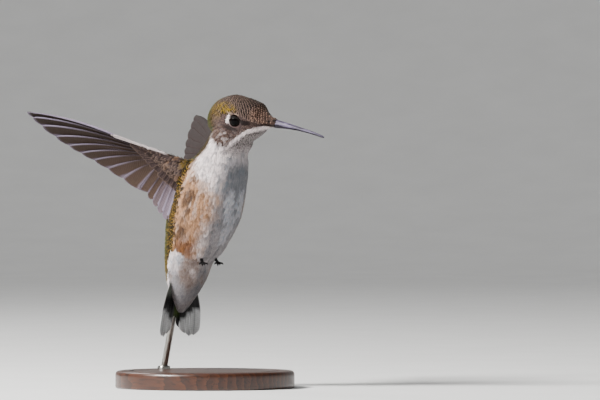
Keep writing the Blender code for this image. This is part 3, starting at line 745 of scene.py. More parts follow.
def spines(tree, roots, lengths, rise, arm=False):
    """Five places along each feather's middle line as it follows the skin, with directions and normals."""
    spots, ways, ups = [np.zeros((len(roots), 5, 3)) for _ in range(3)]
    place = roots.copy()
    step = lengths / 4
    normal = np.array([tree.find_nearest(Vector(p))[1] for p in place])
    for k in range(5):
        flow = lie(place, wing_coordinates(place) if arm else None)
        way = unit(flow - normal * np.sum(flow * normal, axis=1)[:, None])
        spots[:, k] = place + normal * rise[:, k, None]
        ways[:, k], ups[:, k] = way, normal
        found = [tree.find_nearest(Vector(p)) for p in place + way * step[:, None]]
        place = np.array([f[0] for f in found])
        normal = unit(0.5 * normal + 0.5 * np.array([f[1] for f in found]))
    return spots, ways, ups


BARB_ROWS = (0.0, 0.38, 0.74)  # places along a soft feather's barbs, before their points


def soft_feather(strips):
    """A loose feather as narrow barbs that part at their tips: across, along, barb and edge; its faces."""
    marks, quads, tris = [], [], []
    for j in range(strips):
        start = len(marks)
        middle = (j + 0.5) / strips * 2 - 1
        marks += [(middle, t, j, edge) for t in BARB_ROWS for edge in (-1.0, 1.0)]
        marks.append((middle, 1.0, j, 0.0))
        quads += [(s, s + 1, s + 3, s + 2) for s in (start, start + 2)]
        tris.append((start + 4, start + 5, start + 6))
    return np.array(marks), np.array(quads), np.array(tris)


def scale_feather():
    """A firm rounded feather: columns across and rows along."""
    columns, rows = (-1.0, -0.86, -0.3, 0.3, 0.86, 1.0), (0.0, 0.3, 0.6, 0.84, 0.92, 1.0)
    marks = [(a, t, 0, 0.0) for t in rows for a in columns]
    wide = len(columns)
    quads = [(r * wide + i, r * wide + i + 1, (r + 1) * wide + i + 1, (r + 1) * wide + i)
             for r in range(len(rows) - 1) for i in range(wide - 1)]
    return np.array(marks), np.array(quads), np.zeros((0, 3), int)


def lay_coat(name, slot, material, roots, strips, length, width, rise, seed, arm=False, rims=1.0):
    """Plants a feather at every root: a soft one of so many strips, or a firm scale."""
    rng = np.random.default_rng(seed)
    count = len(roots)
    length = np.broadcast_to(length, (count,)) * rng.uniform(0.88, 1.12, count)
    width = np.broadcast_to(width, (count,)) * rng.uniform(0.9, 1.1, count)
    rise = np.broadcast_to(rise, (count,))
    lift = np.array((-0.12, 0.40, 0.72, 0.92, 1.0)) * (rise * rng.uniform(0.8, 1.15, count))[:, None]
    spots, ways, ups = spines(skin_tree(), roots, length, lift, arm)
    if arm:
        base, rim, dark = arm_plumage(roots, wing_coordinates(roots))
    else:
        base, rim, dark = plumage(spots[:, 3] * 0.6 + roots * 0.4)
    marks, quads, tris = soft_feather(strips) if strips else scale_feather()
    a, t, barb, edge = marks.T
    many = len(marks)

    def for_each_barb(values):
        return values[:, barb.astype(int)]

    if strips:
        along = t * (1 - 0.20 * a * a) * for_each_barb(1 - 0.16 * rng.random((count, strips)))
        half = np.interp(t, (*BARB_ROWS, 1), (1.0, 1.0, 0.8, 0)) * 1.25 / strips
        across = a * np.interp(t, (0, 0.4, 1), (0.45, 1.0, 1.1)) * 0.9 + edge * half
        across = across + 0.10 * for_each_barb(rng.random((count, strips)) - 0.5) * t
        bend = -0.10 * a * a + 0.05 * for_each_barb(rng.random((count, strips)) - 0.5)
    else:
        along = np.broadcast_to(t * (1 - 0.26 * a * a), (count, many))
        across = a * np.interp(t, (0, 0.3, 0.6, 1), (0.6, 0.92, 1.0, 0.86))
        bend = np.broadcast_to(-0.16 * a * a * width.mean(), (count, many))
    position = np.clip(along * 4, 0, 3.999)
    low = position.astype(int)
    part = (position - low)[..., None]
    index = np.arange(count)[:, None]
    middle, way, up = (r[index, low] * (1 - part) + r[index, low + 1] * part for r in (spots, ways, ups))
    way, up = unit(way), unit(up)
    sideways = np.cross(way, up)
    points = middle + sideways * (across * width[:, None])[..., None] + up * bend[..., None]
    lighter = rng.uniform(0.90, 1.08, (count, 1))
    normals = None
    if strips:
        lighter = lighter * for_each_barb(rng.uniform(0.80, 1.14, (count, strips)))
        rimmed = smooth(t, 0.5, 1.0) * 0.8
        middle_dark = dark[:, None] * (np.abs(a) < 0.45) * smooth(0.95 - t, 0, 0.3)
        normals = unit(0.65 * up + 0.35 * unit(up + sideways * (a * 0.7)[None, :, None])).reshape(-1, 3)
    else:
        rimmed = np.where(t > 0.95, 1.0, np.where(t > 0.9, 0.7, 0.0)) * (np.abs(a) < 0.95)
        rimmed = np.maximum(rimmed, (np.abs(a) > 0.95) & (t > 0.7)) * rims
        middle_dark = dark[:, None] * (np.abs(a) < 0.5) * (t < 0.9)
    colours = base[:, None] * (1 - rimmed)[None, :, None] + rim[:, None] * rimmed[None, :, None]
    colours = np.clip(colours * lighter[..., None] * (1 - 0.75 * middle_dark)[..., None], 0.001, 1)
    own = np.broadcast_to(np.stack([a + edge / max(strips, 1), t], axis=1), (count, many, 2)).reshape(-1, 2)
    home = unwrap_arm(roots) if arm else unwrap_body(roots)
    patch = home[:, None] + PATCH * (np.stack([a * 0.5, t - 0.5], axis=1))[None]
    offset = (np.arange(count) * many)[:, None, None]
    quads = (quads[None] + offset).reshape(-1, 4)
    tris = (tris[None] + offset).reshape(-1, 3)

    mesh = bpy.data.meshes.new(name)
    mesh.vertices.add(count * many)
    mesh.vertices.foreach_set("co", (points * MM).astype(np.float32).ravel())
    corners = np.concatenate([quads.ravel(), tris.ravel()]).astype(np.int32)
    starts = np.concatenate([np.arange(len(quads)) * 4, quads.size + np.arange(len(tris)) * 3])
    mesh.loops.add(len(corners))
    mesh.loops.foreach_set("vertex_index", corners)
    mesh.polygons.add(len(starts))
    mesh.polygons.foreach_set("loop_start", starts.astype(np.int32))
    mesh.update(calc_edges=True)
    mesh.polygons.foreach_set("use_smooth", np.ones(len(starts), bool))
    for title, values in (("OFBake", patch.reshape(-1, 2)), ("barbs", own)):
        layer = mesh.uv_layers.new(name=title)
        layer.data.foreach_set("uv", values[corners].astype(np.float32).ravel())
    paint_points(mesh, colours.reshape(-1, 3))
    if normals is not None:
        mesh.normals_split_custom_set_from_vertices(normals.astype(np.float32))
    mesh.materials.append(material)
    finished(placed(name, mesh), slot)


SCALE = 0  # instead of a number of strips, for a firm scale
PATCH = 0.003  # side of each feather's own patch on the OFBake map


def unwrap_body(points):
    """The skin of the body opened down the back: round it, and up it."""
    middle = np.interp(points[:, 2], TRUNK[:, 0], TRUNK[:, 1])
    turn = np.arctan2(points[:, 0], -(points[:, 1] - middle)) / (2 * math.pi) + 0.5
    return 0.01 + 0.98 * np.stack([turn, np.clip((points[:, 2] - 18) / 70, 0, 1)], axis=1)


def unwrap_arm(points):
    """The skin of an arm opened along its trailing edge: along it, and round it."""
    reach, chord, lift = wing_coordinates(points).T[:3]
    turn = np.arctan2(lift, 2.5 - 0.15 * reach - chord) / (2 * math.pi) + 0.5
    return 0.01 + 0.98 * np.stack([np.clip((reach + 6) / 28, 0, 1), turn], axis=1)


# ---------------------------------------------------------------- skin


SKIN_GRAIN = 0.4  # side of the boxes that the skin is made from before it is eased, in millimetres
SKIN_TONE = 0.8  # how bright the skin is beside the feathers on it
DISH_DEPTH, DISH_SLOPE, DISH_RADIUS = 1.58, 0.42, 3.4  # the hollow round each eye, from the eye's middle


def make_skin():
    """One smooth skin for head, neck, trunk, coverts and arms, inside them by the coat's depth."""
    coat = bpy.context.scene.bird_sizes.coat / MM
    shape = bmesh.new()
    side = Vector((1, 0, 0))
    loft(shape, [
        [HEAD @ p for p in oval(Vector((0, -ahead, middle)), side, Vector((0, 0, 1)), half, above, below, 40)]
        for ahead, middle, half, above, below in eased_rows(HEAD_STATIONS, 40)])
    loft(shape, [oval(Vector((0, y, z)), side, Vector((0, -1, 0)), half, front, rear, 48)
                 for z, y, half, front, rear in eased_rows(TRUNK_STATIONS, 64)])
    for sign in (-1, 1):
        loft(shape, [
            [wing_place(reach, middle + chord * math.cos(a), thick * math.sin(a), sign) for a in around(24)]
            for reach, middle, chord, thick in eased_rows(ARM_STATIONS, 24)])
    skin = piece_from("skin", shape, skin_material())
    remesh = skin.modifiers.new("one_skin", "REMESH")
    remesh.mode, remesh.voxel_size = "VOXEL", SKIN_GRAIN * MM
    ease = skin.modifiers.new("ease", "SMOOTH")
    ease.factor, ease.iterations = 0.5, 10
    pick_up(skin)
    for modifier in (remesh, ease):
        bpy.ops.object.modifier_apply(modifier=modifier.name)
    mesh = skin.data
    points, normals = mesh_points(mesh), mesh_points(mesh, "vertex_normals", "vector")
    _, ahead, up = head_places(points)
    z = points[:, 2]
    depth = coat * (1 - 0.45 * smooth(z, 66, 72) - 0.25 * smooth(ahead, 3, 8) * (z > 70))
    forehead = smooth(ahead, 4.5, 7.5) * smooth(up, 1.5, 3) * smooth(11 - ahead, 0, 2)
    depth = depth + 0.30 * smooth(up, 2.5, 5.0) + 0.85 * forehead
    front_of_neck = smooth(80 - round_the_body(points), 0, 50)
    depth = depth + 0.7 * front_of_neck * smooth(z, 60, 65) * smooth(70.5 - z, 0, 3)
    arm = on_arm(points)
    points = points - normals * np.where(arm, depth * 0.7, depth)[:, None]
    for sign in (-1, 1):  # a shallow dish round each eye
        wide, high, axis = from_eye(points, sign)
        limit = DISH_DEPTH + np.clip(wide - 1.5, 0, 3) * DISH_SLOPE
        drop = np.where((wide < DISH_RADIUS) & (high > 0), np.clip(high - limit, 0, None), 0)
        points = points - drop[:, None] * axis
    mesh.vertices.foreach_set("co", (points * MM).astype(np.float32).ravel())
    base = np.where(arm[:, None], arm_plumage(points, wing_coordinates(points))[0], plumage(points)[0])
    paint_points(mesh, base * SKIN_TONE)
    mesh.polygons.foreach_set("use_smooth", [True] * len(mesh.polygons))
    mesh.update()
    finished(skin, "breast_feathers", "head", "neck", "trunk", "tail_coverts", "wing_right_arm",
             "wing_left_arm")


def eye_axis(sign):
    """Centre of an eye in millimetres, and the way it looks."""
    out, ahead, up = EYE_PLACE
    axis = HEAD_TURN @ Vector((sign * 1.0, -0.24, 0.0))
    return HEAD @ Vector((sign * out, -ahead, up)), axis.normalized()


def from_eye(points, sign):
    """How wide of an eye's axis and how high along it each place is, and the axis."""
    centre, axis = (np.array(v) for v in eye_axis(sign))
    away = points - centre
    high = away @ axis
    return np.linalg.norm(away - high[:, None] * axis, axis=1), high, axis


def clear_of_eyes(points, margin):
    keep = np.ones(len(points), bool)
    for sign in (-1, 1):
        wide, high, _ = from_eye(points, sign)
        keep &= (wide > margin) | (high < 0)
    return keep


def eye_distance(points, sign):
    return np.linalg.norm(points - np.array(eye_axis(sign)[0]), axis=1)


def room_before_eye(points):
    """How far a feather can run before it would lie over an eye; the least is one short feather."""
    room = np.full(len(points), 9.0)
    ways = unit(lie(points))
    for sign in (-1, 1):
        near = eye_distance(points, sign) < 6.5
        for step in np.arange(0.1, 4.0, 0.15):
            wide, high, _ = from_eye(points + ways * step, sign)
            room = np.where(near & (wide < 1.75) & (room > step) & (high > 0), step, room)
    return np.maximum(room, 0.35)


# ---------------------------------------------------------------- coat, part by part


def clear_of_bill(points):
    _, ahead, up = head_places(points)
    return ~((ahead > 10.9) & (np.abs(up - 1.1) < 2.0))


def is_crown(points):
    _, ahead, up = head_places(points)
    line = np.interp(ahead, (-12, -9, -5, -2, 0.5, 3, 6, 9, 12),
                     (-5, -3.4, 0.2, 1.9, 2.6, 1.8, 1.2, 0.7, 0.6))
    return (points[:, 2] > 69) & (up > line)


CROWN_START, FOREHEAD_END, CROWN_END = (math.radians(turn) for turn in (-14, 62, 205))  # from the bill back
CROWN_SIDE = 1.45  # how far down each side the rows go, in radians
CROWN_RADIUS, CROWN_ARCH = 6.6, 6.9  # across the head and along it
ROW_STEP = 0.86  # between rows, as a share of the pitch in a row


def crown_roots(pitch):
    """Places for the crown's scales, in brick-like rows that close up towards the bill."""
    tree = skin_tree()
    middle = HEAD @ Vector((0, 1.0, -0.9))
    roots = []
    angle, row = CROWN_START, 0
    while angle < CROWN_END:
        near_bill = max(0.0, min(1.0, 1 - angle / FOREHEAD_END))
        for j in range(-34, 35):
            across = (j + 0.5 * (row % 2)) * pitch * (1 - 0.5 * near_bill) / CROWN_RADIUS
            if abs(across) > CROWN_SIDE:
                continue
            level = math.cos(across)
            way = HEAD_TURN @ Vector((math.sin(across), -math.cos(angle) * level, math.sin(angle) * level))
            hit = tree.ray_cast(middle + way * 20, -way)
            if hit[0]:
                roots.append(hit[0])
        angle += pitch * (1 - 0.55 * near_bill) * ROW_STEP / CROWN_ARCH
        row += 1
    roots = np.array(roots)
    return roots + np.random.default_rng(5).normal(0, 0.035, roots.shape)


def lay_head():
    sizes = bpy.context.scene.bird_sizes
    crown_pitch, face_pitch = sizes.crown_pitch / MM, sizes.face_pitch / MM
    glint = feather_material("crown_scales", 0.55, 0.0, 6.0, 0.0, 0.00002, 0.08)
    silk = feather_material("face_down", 0.6, 0.04, 5.0, specular=0.1)
    roots = crown_roots(crown_pitch)
    roots = roots[is_crown(roots) & clear_of_eyes(roots, 2.25) & clear_of_bill(roots)]
    small = 1 - 0.36 * smooth(head_places(roots)[1], 0, 8)
    length = np.minimum(1.5 * small, room_before_eye(roots))
    rise = 0.26 * small * small
    lay_coat("crown_scales", "crown_feathers", glint, roots, SCALE, length, 0.40 * small, rise, 11)

    def face_pitch_at(points):
        good = (points[:, 2] > 67.5) & ~is_crown(points) & clear_of_eyes(points, 2.05) & clear_of_bill(points)
        good &= ~on_arm(points) & (round_the_body(points) < 150)
        return np.where(good, face_pitch * (1 - 0.2 * smooth(head_places(points)[1], 2, 7)), 0)

    roots = scatter_roots(face_pitch_at, 21)
    _, ahead, up = head_places(roots)
    throat = (up < jaw_line(ahead) - 1.1) & (round_the_body(roots) < 58)
    lay_coat("throat_feathers", "breast_feathers", silk, roots[throat], SCALE, 1.35, 0.38, 0.28, 19)
    roots = roots[~throat]
    size = 1 - 0.4 * smooth(head_places(roots)[1], -2, 7)
    size = size * (0.5 + 0.5 * smooth(np.minimum(eye_distance(roots, -1), eye_distance(roots, 1)), 2.8, 4.6))
    length = np.minimum(1.6 * size, room_before_eye(roots))
    lay_coat("face_feathers", "breast_feathers", silk, roots, 7, length, 0.38 * size, 0.24, 12)


def lay_body():
    sizes = bpy.context.scene.bird_sizes
    pitch, coat = sizes.body_pitch / MM, sizes.coat / MM
    silk = feather_material("breast_silk", 0.6, 0.05, 6.0, specular=0.12)
    bronze = feather_material("back_bronze", 0.5, 0.02, 6.0, 0.15, 0.00003, 0.1)
    fluff = feather_material("undertail_fluff", 0.7, 0.06, 7.0, specular=0.1)

    def roots(low, high, near, far, seed, share=1.0):
        """Places between two heights and two turns round the body."""
        def pitch_at(points):
            turn, z = round_the_body(points), points[:, 2]
            good = (z > low) & (z <= high) & (turn >= near) & (turn < far) & ~on_arm(points)
            good &= ~((z > 67.5) & (turn < 150)) & ~is_crown(points)
            return np.where(good, pitch * share * (1 - 0.2 * smooth(z, 62, 68)), 0)
        return scatter_roots(pitch_at, seed)

    soft_slot = "breast_feathers"
    lay_coat("breast_feathers", soft_slot, silk, roots(38, 80, 0, 48, 31), 5, 2.9, 0.56, coat, 13)
    lay_coat("flank_feathers", soft_slot, silk, roots(38, 80, 48, 100, 32), 5, 2.7, 0.56, coat, 14)
    back_roots = roots(26, 80, 100, 181, 33, 0.95)
    lay_coat("back_feathers", "back_feathers", bronze, back_roots, SCALE, 2.1, 0.52, coat * 0.9, 15)
    lay_coat("undertail_coverts", soft_slot, fluff, roots(20, 38, 0, 106, 34), 8, 3.9, 0.8, coat, 16)


def lay_arms():
    pitch = bpy.context.scene.bird_sizes.body_pitch / MM
    soft = feather_material("wing_coverts", 0.55, 0.03, 6.0, specular=0.12)
    for word, sign in SIDES:
        roots = scatter_roots(lambda p: np.where(on_arm(p) & (p[:, 0] * sign > 0), pitch, 0), 41 + sign)
        reach, chord, lift = wing_coordinates(roots).T[:3]
        size = (0.5 + 0.5 * smooth(chord - arm_front(reach), 0.2, 2.2)) * (1 - 0.6 * smooth(reach, 13, 17.5))
        for label, here, strips, length, width, rise, seed, rims in (
                ("under", lift > 0, 6, 2.1, 0.55, 0.34, 17, 1.0),
                ("upper", lift <= 0, SCALE, 2.0, 0.58, 0.30, 27, 0.7)):
            lay_coat(f"{label}_coverts_{word}", "back_feathers", soft, roots[here], strips,
                     length * size[here], width * size[here], rise, seed + sign, True, rims)


# ---------------------------------------------------------------- flight and tail feathers


def feather_ends(number):
    """Root and tip of a flight feather in the plane of the wing, 0 being the outermost."""
    if number < PRIMARIES:
        return bezier(ROOT_LINE, 0.62 * number / PRIMARIES), bezier(PRIMARY_TIPS, PRIMARY_SHARES[number])
    share = (number - PRIMARIES + 1) / SECONDARIES
    return bezier(ROOT_LINE, 0.62 + 0.38 * share), bezier(SECONDARY_TIPS, share)


def shaft_place(number, t):
    root, tip = feather_ends(number)
    bow = (0.2 if number < PRIMARIES else 0.12) * np.linalg.norm(tip - root) * 0.62
    return bezier((root, (root + tip) / 2 + np.array([0.35, -1.0]) * bow, tip), t)


def feather_length(number):
    root, tip = feather_ends(number)
    return float(np.linalg.norm(tip - root))


def rounded(t, start, power=2.0, root=0.5):
    """1 along a feather, closing in a round curve from start to 0 at the tip."""
    return max(1 - max((t - start) / (1 - start), 0.0) ** power, 0.0) ** root


VANE_COLUMNS = (-1.0, -0.6, -0.22, 0.0, 0.05, 0.14, 0.34, 0.56, 0.78, 0.92, 1.0)
VANE_ROWS = tuple(np.linspace(0, 0.8, 15)) + (0.85, 0.9, 0.94, 0.97, 0.99, 1.0)


def new_store():
    """Where vanes gather until they become one piece."""
    return SimpleNamespace(points=[], colours=[], own=[], quads=[])


def add_vane(store, places, tints, unders, size):
    """Adds one closed, thin vane: a grid of (point, normal) pairs with a colour for each side."""
    rows, columns = len(places), len(places[0])
    start = len(store.points)
    for sign, colours in ((1, unders), (-1, tints)):
        for t, row, tones in zip(VANE_ROWS, places, colours):
            for a, (point, normal), tone in zip(VANE_COLUMNS, row, tones):
                thick = 0.16 * math.exp(-(a / 0.05) ** 2) * (1 - 0.7 * t) + 0.055
                store.points.append(point + normal * sign * thick)
                store.colours.append(tone)
                store.own.append((a, t * size))

    def at(layer, r, k):
        return start + (layer * rows + r) * columns + k

    for r in range(rows - 1):
        for k in range(columns - 1):
            store.quads.append((at(0, r, k), at(0, r, k + 1), at(0, r + 1, k + 1), at(0, r + 1, k)))
            store.quads.append((at(1, r, k), at(1, r + 1, k), at(1, r + 1, k + 1), at(1, r, k + 1)))
    rim = [(0, k) for k in range(columns)] + [(r, columns - 1) for r in range(1, rows)]
    rim += [(rows - 1, k) for k in range(columns - 2, -1, -1)] + [(r, 0) for r in range(rows - 2, 0, -1)]
    for (r, k), (s, m) in zip(rim, rim[1:] + rim[:1]):
        store.quads.append((at(0, r, k), at(1, r, k), at(1, s, m), at(0, s, m)))


def vane_piece(name, slot, material, store, *nodes):
    """One piece from the stored vanes, all facing outwards."""
    shape = bmesh.new()
    verts = [shape.verts.new(Vector(p) * MM) for p in store.points]
    for face in store.quads:
        shape.faces.new([verts[i] for i in face])
    bmesh.ops.recalc_face_normals(shape, faces=shape.faces)
    piece = piece_from(name, shape, material)
    mesh = piece.data
    corners = np.zeros(len(mesh.loops), np.int32)
    mesh.loops.foreach_get("vertex_index", corners)
    own = np.array(store.own, np.float32)
    mesh.uv_layers.new(name="barbs").data.foreach_set("uv", own[corners].ravel())
    paint_points(mesh, np.clip(np.array(store.colours, float), 0.001, 1))
    finished(piece, slot, *nodes)


TIP_FROM = 0.75  # where along a flight feather its tip begins to be cut
LAST_ROOM, OVERLAP = 1.7, 0.30  # the innermost feather's width, and how far each lies under the next one


def lead_width(number, t, inner):
    """How wide the leading web is; the outermost feather's carries the wing's bulge behind the wrist."""
    if number == 0:
        wide = 0.75 * math.sin(math.pi * (0.25 + 0.72 * t)) + 0.5 * math.exp(-((t - 0.32) / 0.22) ** 2)
    else:
        wide = 0.36 - 0.018 * min(number, 9) + 0.45 * inner
    return wide * (0.35 + 0.65 * t)


def flight_feather(store, number, side):
    """One primary or secondary, leaning on the next one in."""
    c = bird_tones()
    tip = feather_ends(number)[1]
    # How far in a secondary lies, smaller on the left wing. It widens the leading web, and from below it lays
    # on a pale painted sheen that is stronger on the lit right wing.
    inner = min(max((number - 10) / 4, 0.0), 1.0) * (1.0 if side < 0 else 0.3)
    slant = 1.0
    if number < LAST_FEATHER:  # each tip is cut back towards the next one, which scallops the edge
        point_way = unit(np.array([tip - shaft_place(number, 0.96)]))[0]
        slant = min(max(float(np.dot(tip - feather_ends(number + 1)[1], point_way)), 0.9), 4.5)
    places, tints, unders = [], [], []
    for t in VANE_ROWS:
        shaft = shaft_place(number, t)
        ahead = shaft_place(number, min(t + 0.02, 1.0)) - shaft_place(number, max(t - 0.02, 0.0))
        ahead = ahead / np.linalg.norm(ahead)
        back = np.array([-abs(ahead[1]), ahead[0]]) if ahead[1] > 0 else np.array([ahead[1], ahead[0]])
        back = back / np.linalg.norm(back)
        room = LAST_ROOM
        if number < LAST_FEATHER:
            gap = shaft_place(number + 1, t) - shaft
            across, straight = abs(float(np.dot(gap, back))), float(np.linalg.norm(gap))
            room = max(straight + (across - straight) * float(smooth(t, 0.6, 0.95)), 0.5)
        lead = lead_width(number, t, inner) * (0.10 + 0.90 * rounded(t, 0.91))
        line, top, under = [], [], []
        for a in VANE_COLUMNS:
            spot = shaft + back * a * (lead if a < 0 else room + OVERLAP)
            cut = 0.55 * a * a if a < 0 else slant * a ** 2.3
            if number >= PRIMARIES:
                cut = 1.3 * min(((a - 0.5) / 0.5) ** 2, 1.6)
            spot = spot - ahead * cut * max(t - TIP_FROM, 0) / (1 - TIP_FROM)
            lift = 0.17 - 0.30 * (a + 1) / 2 - 0.10 * math.sin(math.pi * max(a, 0))
            line.append((wing_place(spot[0], spot[1], lift, side), under_wing(spot[0], side)))
            fleck = noise.noise(Vector((spot[0] * 1.3, spot[1] * 1.3, number))) * 0.12
            rim = (a > 0.9) * 0.45 + (t > 0.975) * 0.35
            tone = c.vane * (1.0 + fleck) * (1 + 0.25 * (a < 0)) * (1 + 0.7 * rim)
            top.append(tone * (1 - 0.45 * math.exp(-(a / 0.06) ** 2)))
            tone = c.vane_under * (0.34 + fleck + 0.2 * t + 0.15 * number)
            # Painted sheen: the inner secondaries pale lavender from below, much more on the lit right wing.
            tone = tone + (c.sheen_and_fringe - tone) * (0.4 * inner * (a < 0.6))
            # Painted sheen: glancing light on each leading vane from below, fading towards the root; full on
            # the lit right wing, about a fifth on the shaded left.
            painted_sheen = 1.0 if a < 0.03 else max(0.0, 1 - (a - 0.03) / 0.06)
            painted_sheen *= 0.15 + 0.85 * float(smooth(t, 0.45 - 0.03 * number, 0.95)) if number else 0.8 + 0.2 * t
            painted_sheen *= (0.95 - 0.05 * min(number, 9)) if side < 0 else 0.22
            tone = tone + (c.sheen_and_fringe * (0.55 + 0.2 * t) - tone) * painted_sheen
            tone = tone + (c.sheen_and_fringe * 0.5 - tone) * min(rim, 0.55)
            # Painted sheen: the outermost primary's leading web brightest, fading towards its tip.
            if number == 0 and a < -0.3:
                tone = c.sheen_and_fringe * (0.9 - 0.25 * t)
            under.append(tone)
        places.append(line)
        tints.append(top)
        unders.append(under)
    add_vane(store, places, tints, unders, feather_length(number))


def covert_colours(c, number, below):
    """Base and rim of a larger covert; above, the outer ones match the primaries."""
    if below:
        return c.cheek * 0.24, c.crown_edge * 0.35
    if number < 5:
        return c.vane * 0.9, c.vane * 1.4
    return c.green * 0.45 + c.vane * 0.3, c.bronze * 0.3


def covert_row(store, side, below):
    """The larger coverts, one over the root of each flight feather."""
    c = bird_tones()
    sign = 1 if below else -1
    narrow = 1 if below else 4  # so many of the outer ones have next to no leading web
    for number in range(0 if below else 1, LAST_FEATHER + 1):
        base, rim = covert_colours(c, number, below)
        length = feather_length(number)
        marginal = below and number == 0  # the cream one that carries the leading edge on along the hand
        share = (4.6 if number < PRIMARIES else 5.4) / length * (0.75 if below else 1.0)
        if marginal:
            share = 8.6 / length
        lead = 1.0 if number >= narrow or marginal else 0.15
        height = sign * (1.0 if below or number > 3 else 0.6)
        places, tints = [], []
        for t in VANE_ROWS:
            spot = shaft_place(number, t * share)
            if marginal:
                spot = spot - np.array((0.0, 1.15 * (1 - t)))
            far = spot + np.array((-0.8, 0.1))
            if number < LAST_FEATHER:
                far = shaft_place(number + 1, t * share)
            gap = 0.7 if marginal else max(float(np.linalg.norm(far - spot)), 0.75)
            ahead = shaft_place(number, t * share + 0.02) - spot
            ahead = ahead / np.linalg.norm(ahead)
            back = np.array([-ahead[1], ahead[0]]) * (-1 if ahead[1] < 0 else 1)
            wide = gap * 0.75 * (0.12 + 0.88 * rounded(t, 0.7))
            line, top = [], []
            for a in VANE_COLUMNS:
                place = spot + back * a * wide * (lead if a < 0 else 1.0)
                lift = height * (0.62 - 0.20 * t + 0.05 * a)
                line.append((wing_place(place[0], place[1], lift, side), under_wing(place[0], side)))
                tone = c.white * (0.8 - 0.3 * t) if marginal else base
                tone = tone * (1 + 0.25 * noise.noise(Vector((place[0], place[1], number * 3.0))))
                tone = tone * (1 - 0.35 * math.exp(-(a / 0.12) ** 2))
                if not marginal and (abs(a) > 0.9 or t > 0.93):
                    tone = tone + (rim - tone) * (0.3 if below else 0.6)
                top.append(tone)
            places.append(line)
            tints.append(top)
        add_vane(store, places, tints, tints, share * length)


def make_flight_feathers():
    barbs = feather_material("flight_barbs", 0.6, 0.02, 1.6, 0.0, 0.00004, 0.12)
    for word, side in SIDES:
        for label, first, end in (("primaries", 0, PRIMARIES), ("secondaries", PRIMARIES, LAST_FEATHER + 1)):
            store = new_store()
            for number in range(first, end):
                flight_feather(store, number, side)
            vane_piece(f"{label}_{word}", "flight_feathers", barbs, store, f"wing_{word}_{label}")
        store = new_store()
        covert_row(store, side, True)
        covert_row(store, side, False)
        vane_piece(f"large_coverts_{word}", "back_feathers", barbs, store)


def tail_place(across, t, lift):
    run = Vector((0, TAIL_TIP[0] - TAIL_ROOT[0], TAIL_TIP[1] - TAIL_ROOT[1]))
    under = run.normalized().cross(Vector((1, 0, 0)))
    if under.y > 0:
        under = -under
    return Vector((across, TAIL_ROOT[0], TAIL_ROOT[1])) + run * t + under * lift, under


def tail_colour(c, number, a, t, along):
    """Green at the root, then black, and a white tip on the outer three."""
    ragged = 0.02 * noise.noise(Vector((a * 3.0, number * 2.0, 1.0))) - 0.03 * a + 0.05 * a * a
    whiteness = min(max((along - (WHITE_FROM[number] + ragged)) / 0.05, 0.0), 1.0)
    body = c.green * 0.9 if number < 2 else c.green * 0.5 + np.array((0.10, 0.10, 0.11))
    dark = min(max((along - BLACK_FROM[number]) / 0.08, 0.0), 1.0)
    tone = body + (c.black - body) * dark * (0.55 if number == 0 else 1.0)
    if number == 4 and a > 0.8:
        tone = tone + (np.array((0.25, 0.24, 0.24)) - tone) * 0.8
    # Painted shade: the white tips greyer towards the shaft, in soft patches.
    shade = c.tail_white * (0.66 + 0.30 * a * a + 0.16 * noise.noise(Vector((a * 2, t * 6, number))))
    tone = tone + (shade - tone) * whiteness
    return tone * (1 - 0.35 * math.exp(-(a / 0.07) ** 2))


def make_tail():
    """Five feathers a side, the outer three with a black band and a white tip."""
    c = bird_tones()
    barbs = feather_material("tail_barbs", 0.5, 0.03, 1.6, 0.0, 0.00004, 0.2)
    length = math.dist(TAIL_TIP, TAIL_ROOT)
    stores = {key: new_store() for key in ("right", "left", "center")}
    for word, side in SIDES:
        for number, (across, short, half) in enumerate(RECTRICES):
            end = 1 - short / length
            depth = (-0.95 + 0.16 * number) if number < 2 else (0.13 * (number - 3))
            places, tints = [], []
            for t in VANE_ROWS:
                close = 0.15 + 0.85 * rounded(t, 0.86, 2.6, 0.4)
                middle = 0.35 * across + 0.65 * across * (1 - (1 - t) ** 2.4)
                line, tones = [], []
                for a in VANE_COLUMNS:
                    place = middle + a * ((0.35 + 0.65 * min(t / 0.6, 1.0)) * half * close)
                    along = end * (t - 0.035 * a * a * max(t - 0.8, 0) / 0.2)
                    line.append(tail_place(side * place, along, depth + 0.019 * place * place + 0.10 * a))
                    tones.append(tail_colour(c, number, a, t, along))
                places.append(line)
                tints.append(tones)
            add_vane(stores["center" if number < 2 else word], places, tints, tints, length)
    for key, store in stores.items():
        vane_piece(f"tail_{key}_feathers", "tail_feathers", barbs, store, f"tail_{key}")


# ---------------------------------------------------------------- bill, eyes, feet


def make_bill():
    # Painted shade: the lower half is the same horn at a fifth of the upper half's brightness.
    for upper, name, node, depth in ((True, "top", "upper", 1.0), (False, "bottom", "lower", 0.2)):
        shape = bmesh.new()
        rings = []
        for ahead, middle, half_width, half_height in eased_rows(BILL_STATIONS, 56):
            mouth = middle - 0.12 * half_height
            ring = oval(Vector((0, -ahead, middle)), Vector((1, 0, 0)), Vector((0, 0, 1)), half_width,
                        half_height, half_height, 40)
            for point in ring:
                share = abs(point.x) / half_width
                if upper:
                    # a low ridge along the top, and a slit over each nostril
                    point.z += 0.05 * half_height * math.exp(-(share / 0.18) ** 2) * (point.z > middle)
                    slit = math.exp(-((ahead - 12.2) / 1.5) ** 2) * math.exp(-((share - 0.86) / 0.12) ** 2)
                    if point.z > mouth:
                        point.x *= 1 - 0.16 * slit
                    point.z = max(point.z, mouth + MOUTH_GAP / 2)
                else:
                    point.z = min(point.z, mouth - MOUTH_GAP / 2)
                    point.x *= 0.96
            rings.append([HEAD @ point for point in ring])
        loft(shape, rings)
        piece = piece_from(f"bill_{name}", shape, horn_material(f"{node}_horn", depth))
        pick_up(piece)
        bpy.ops.object.shade_smooth_by_angle(angle=math.radians(50))
        finished(piece, "bill_horn", f"bill_{node}")


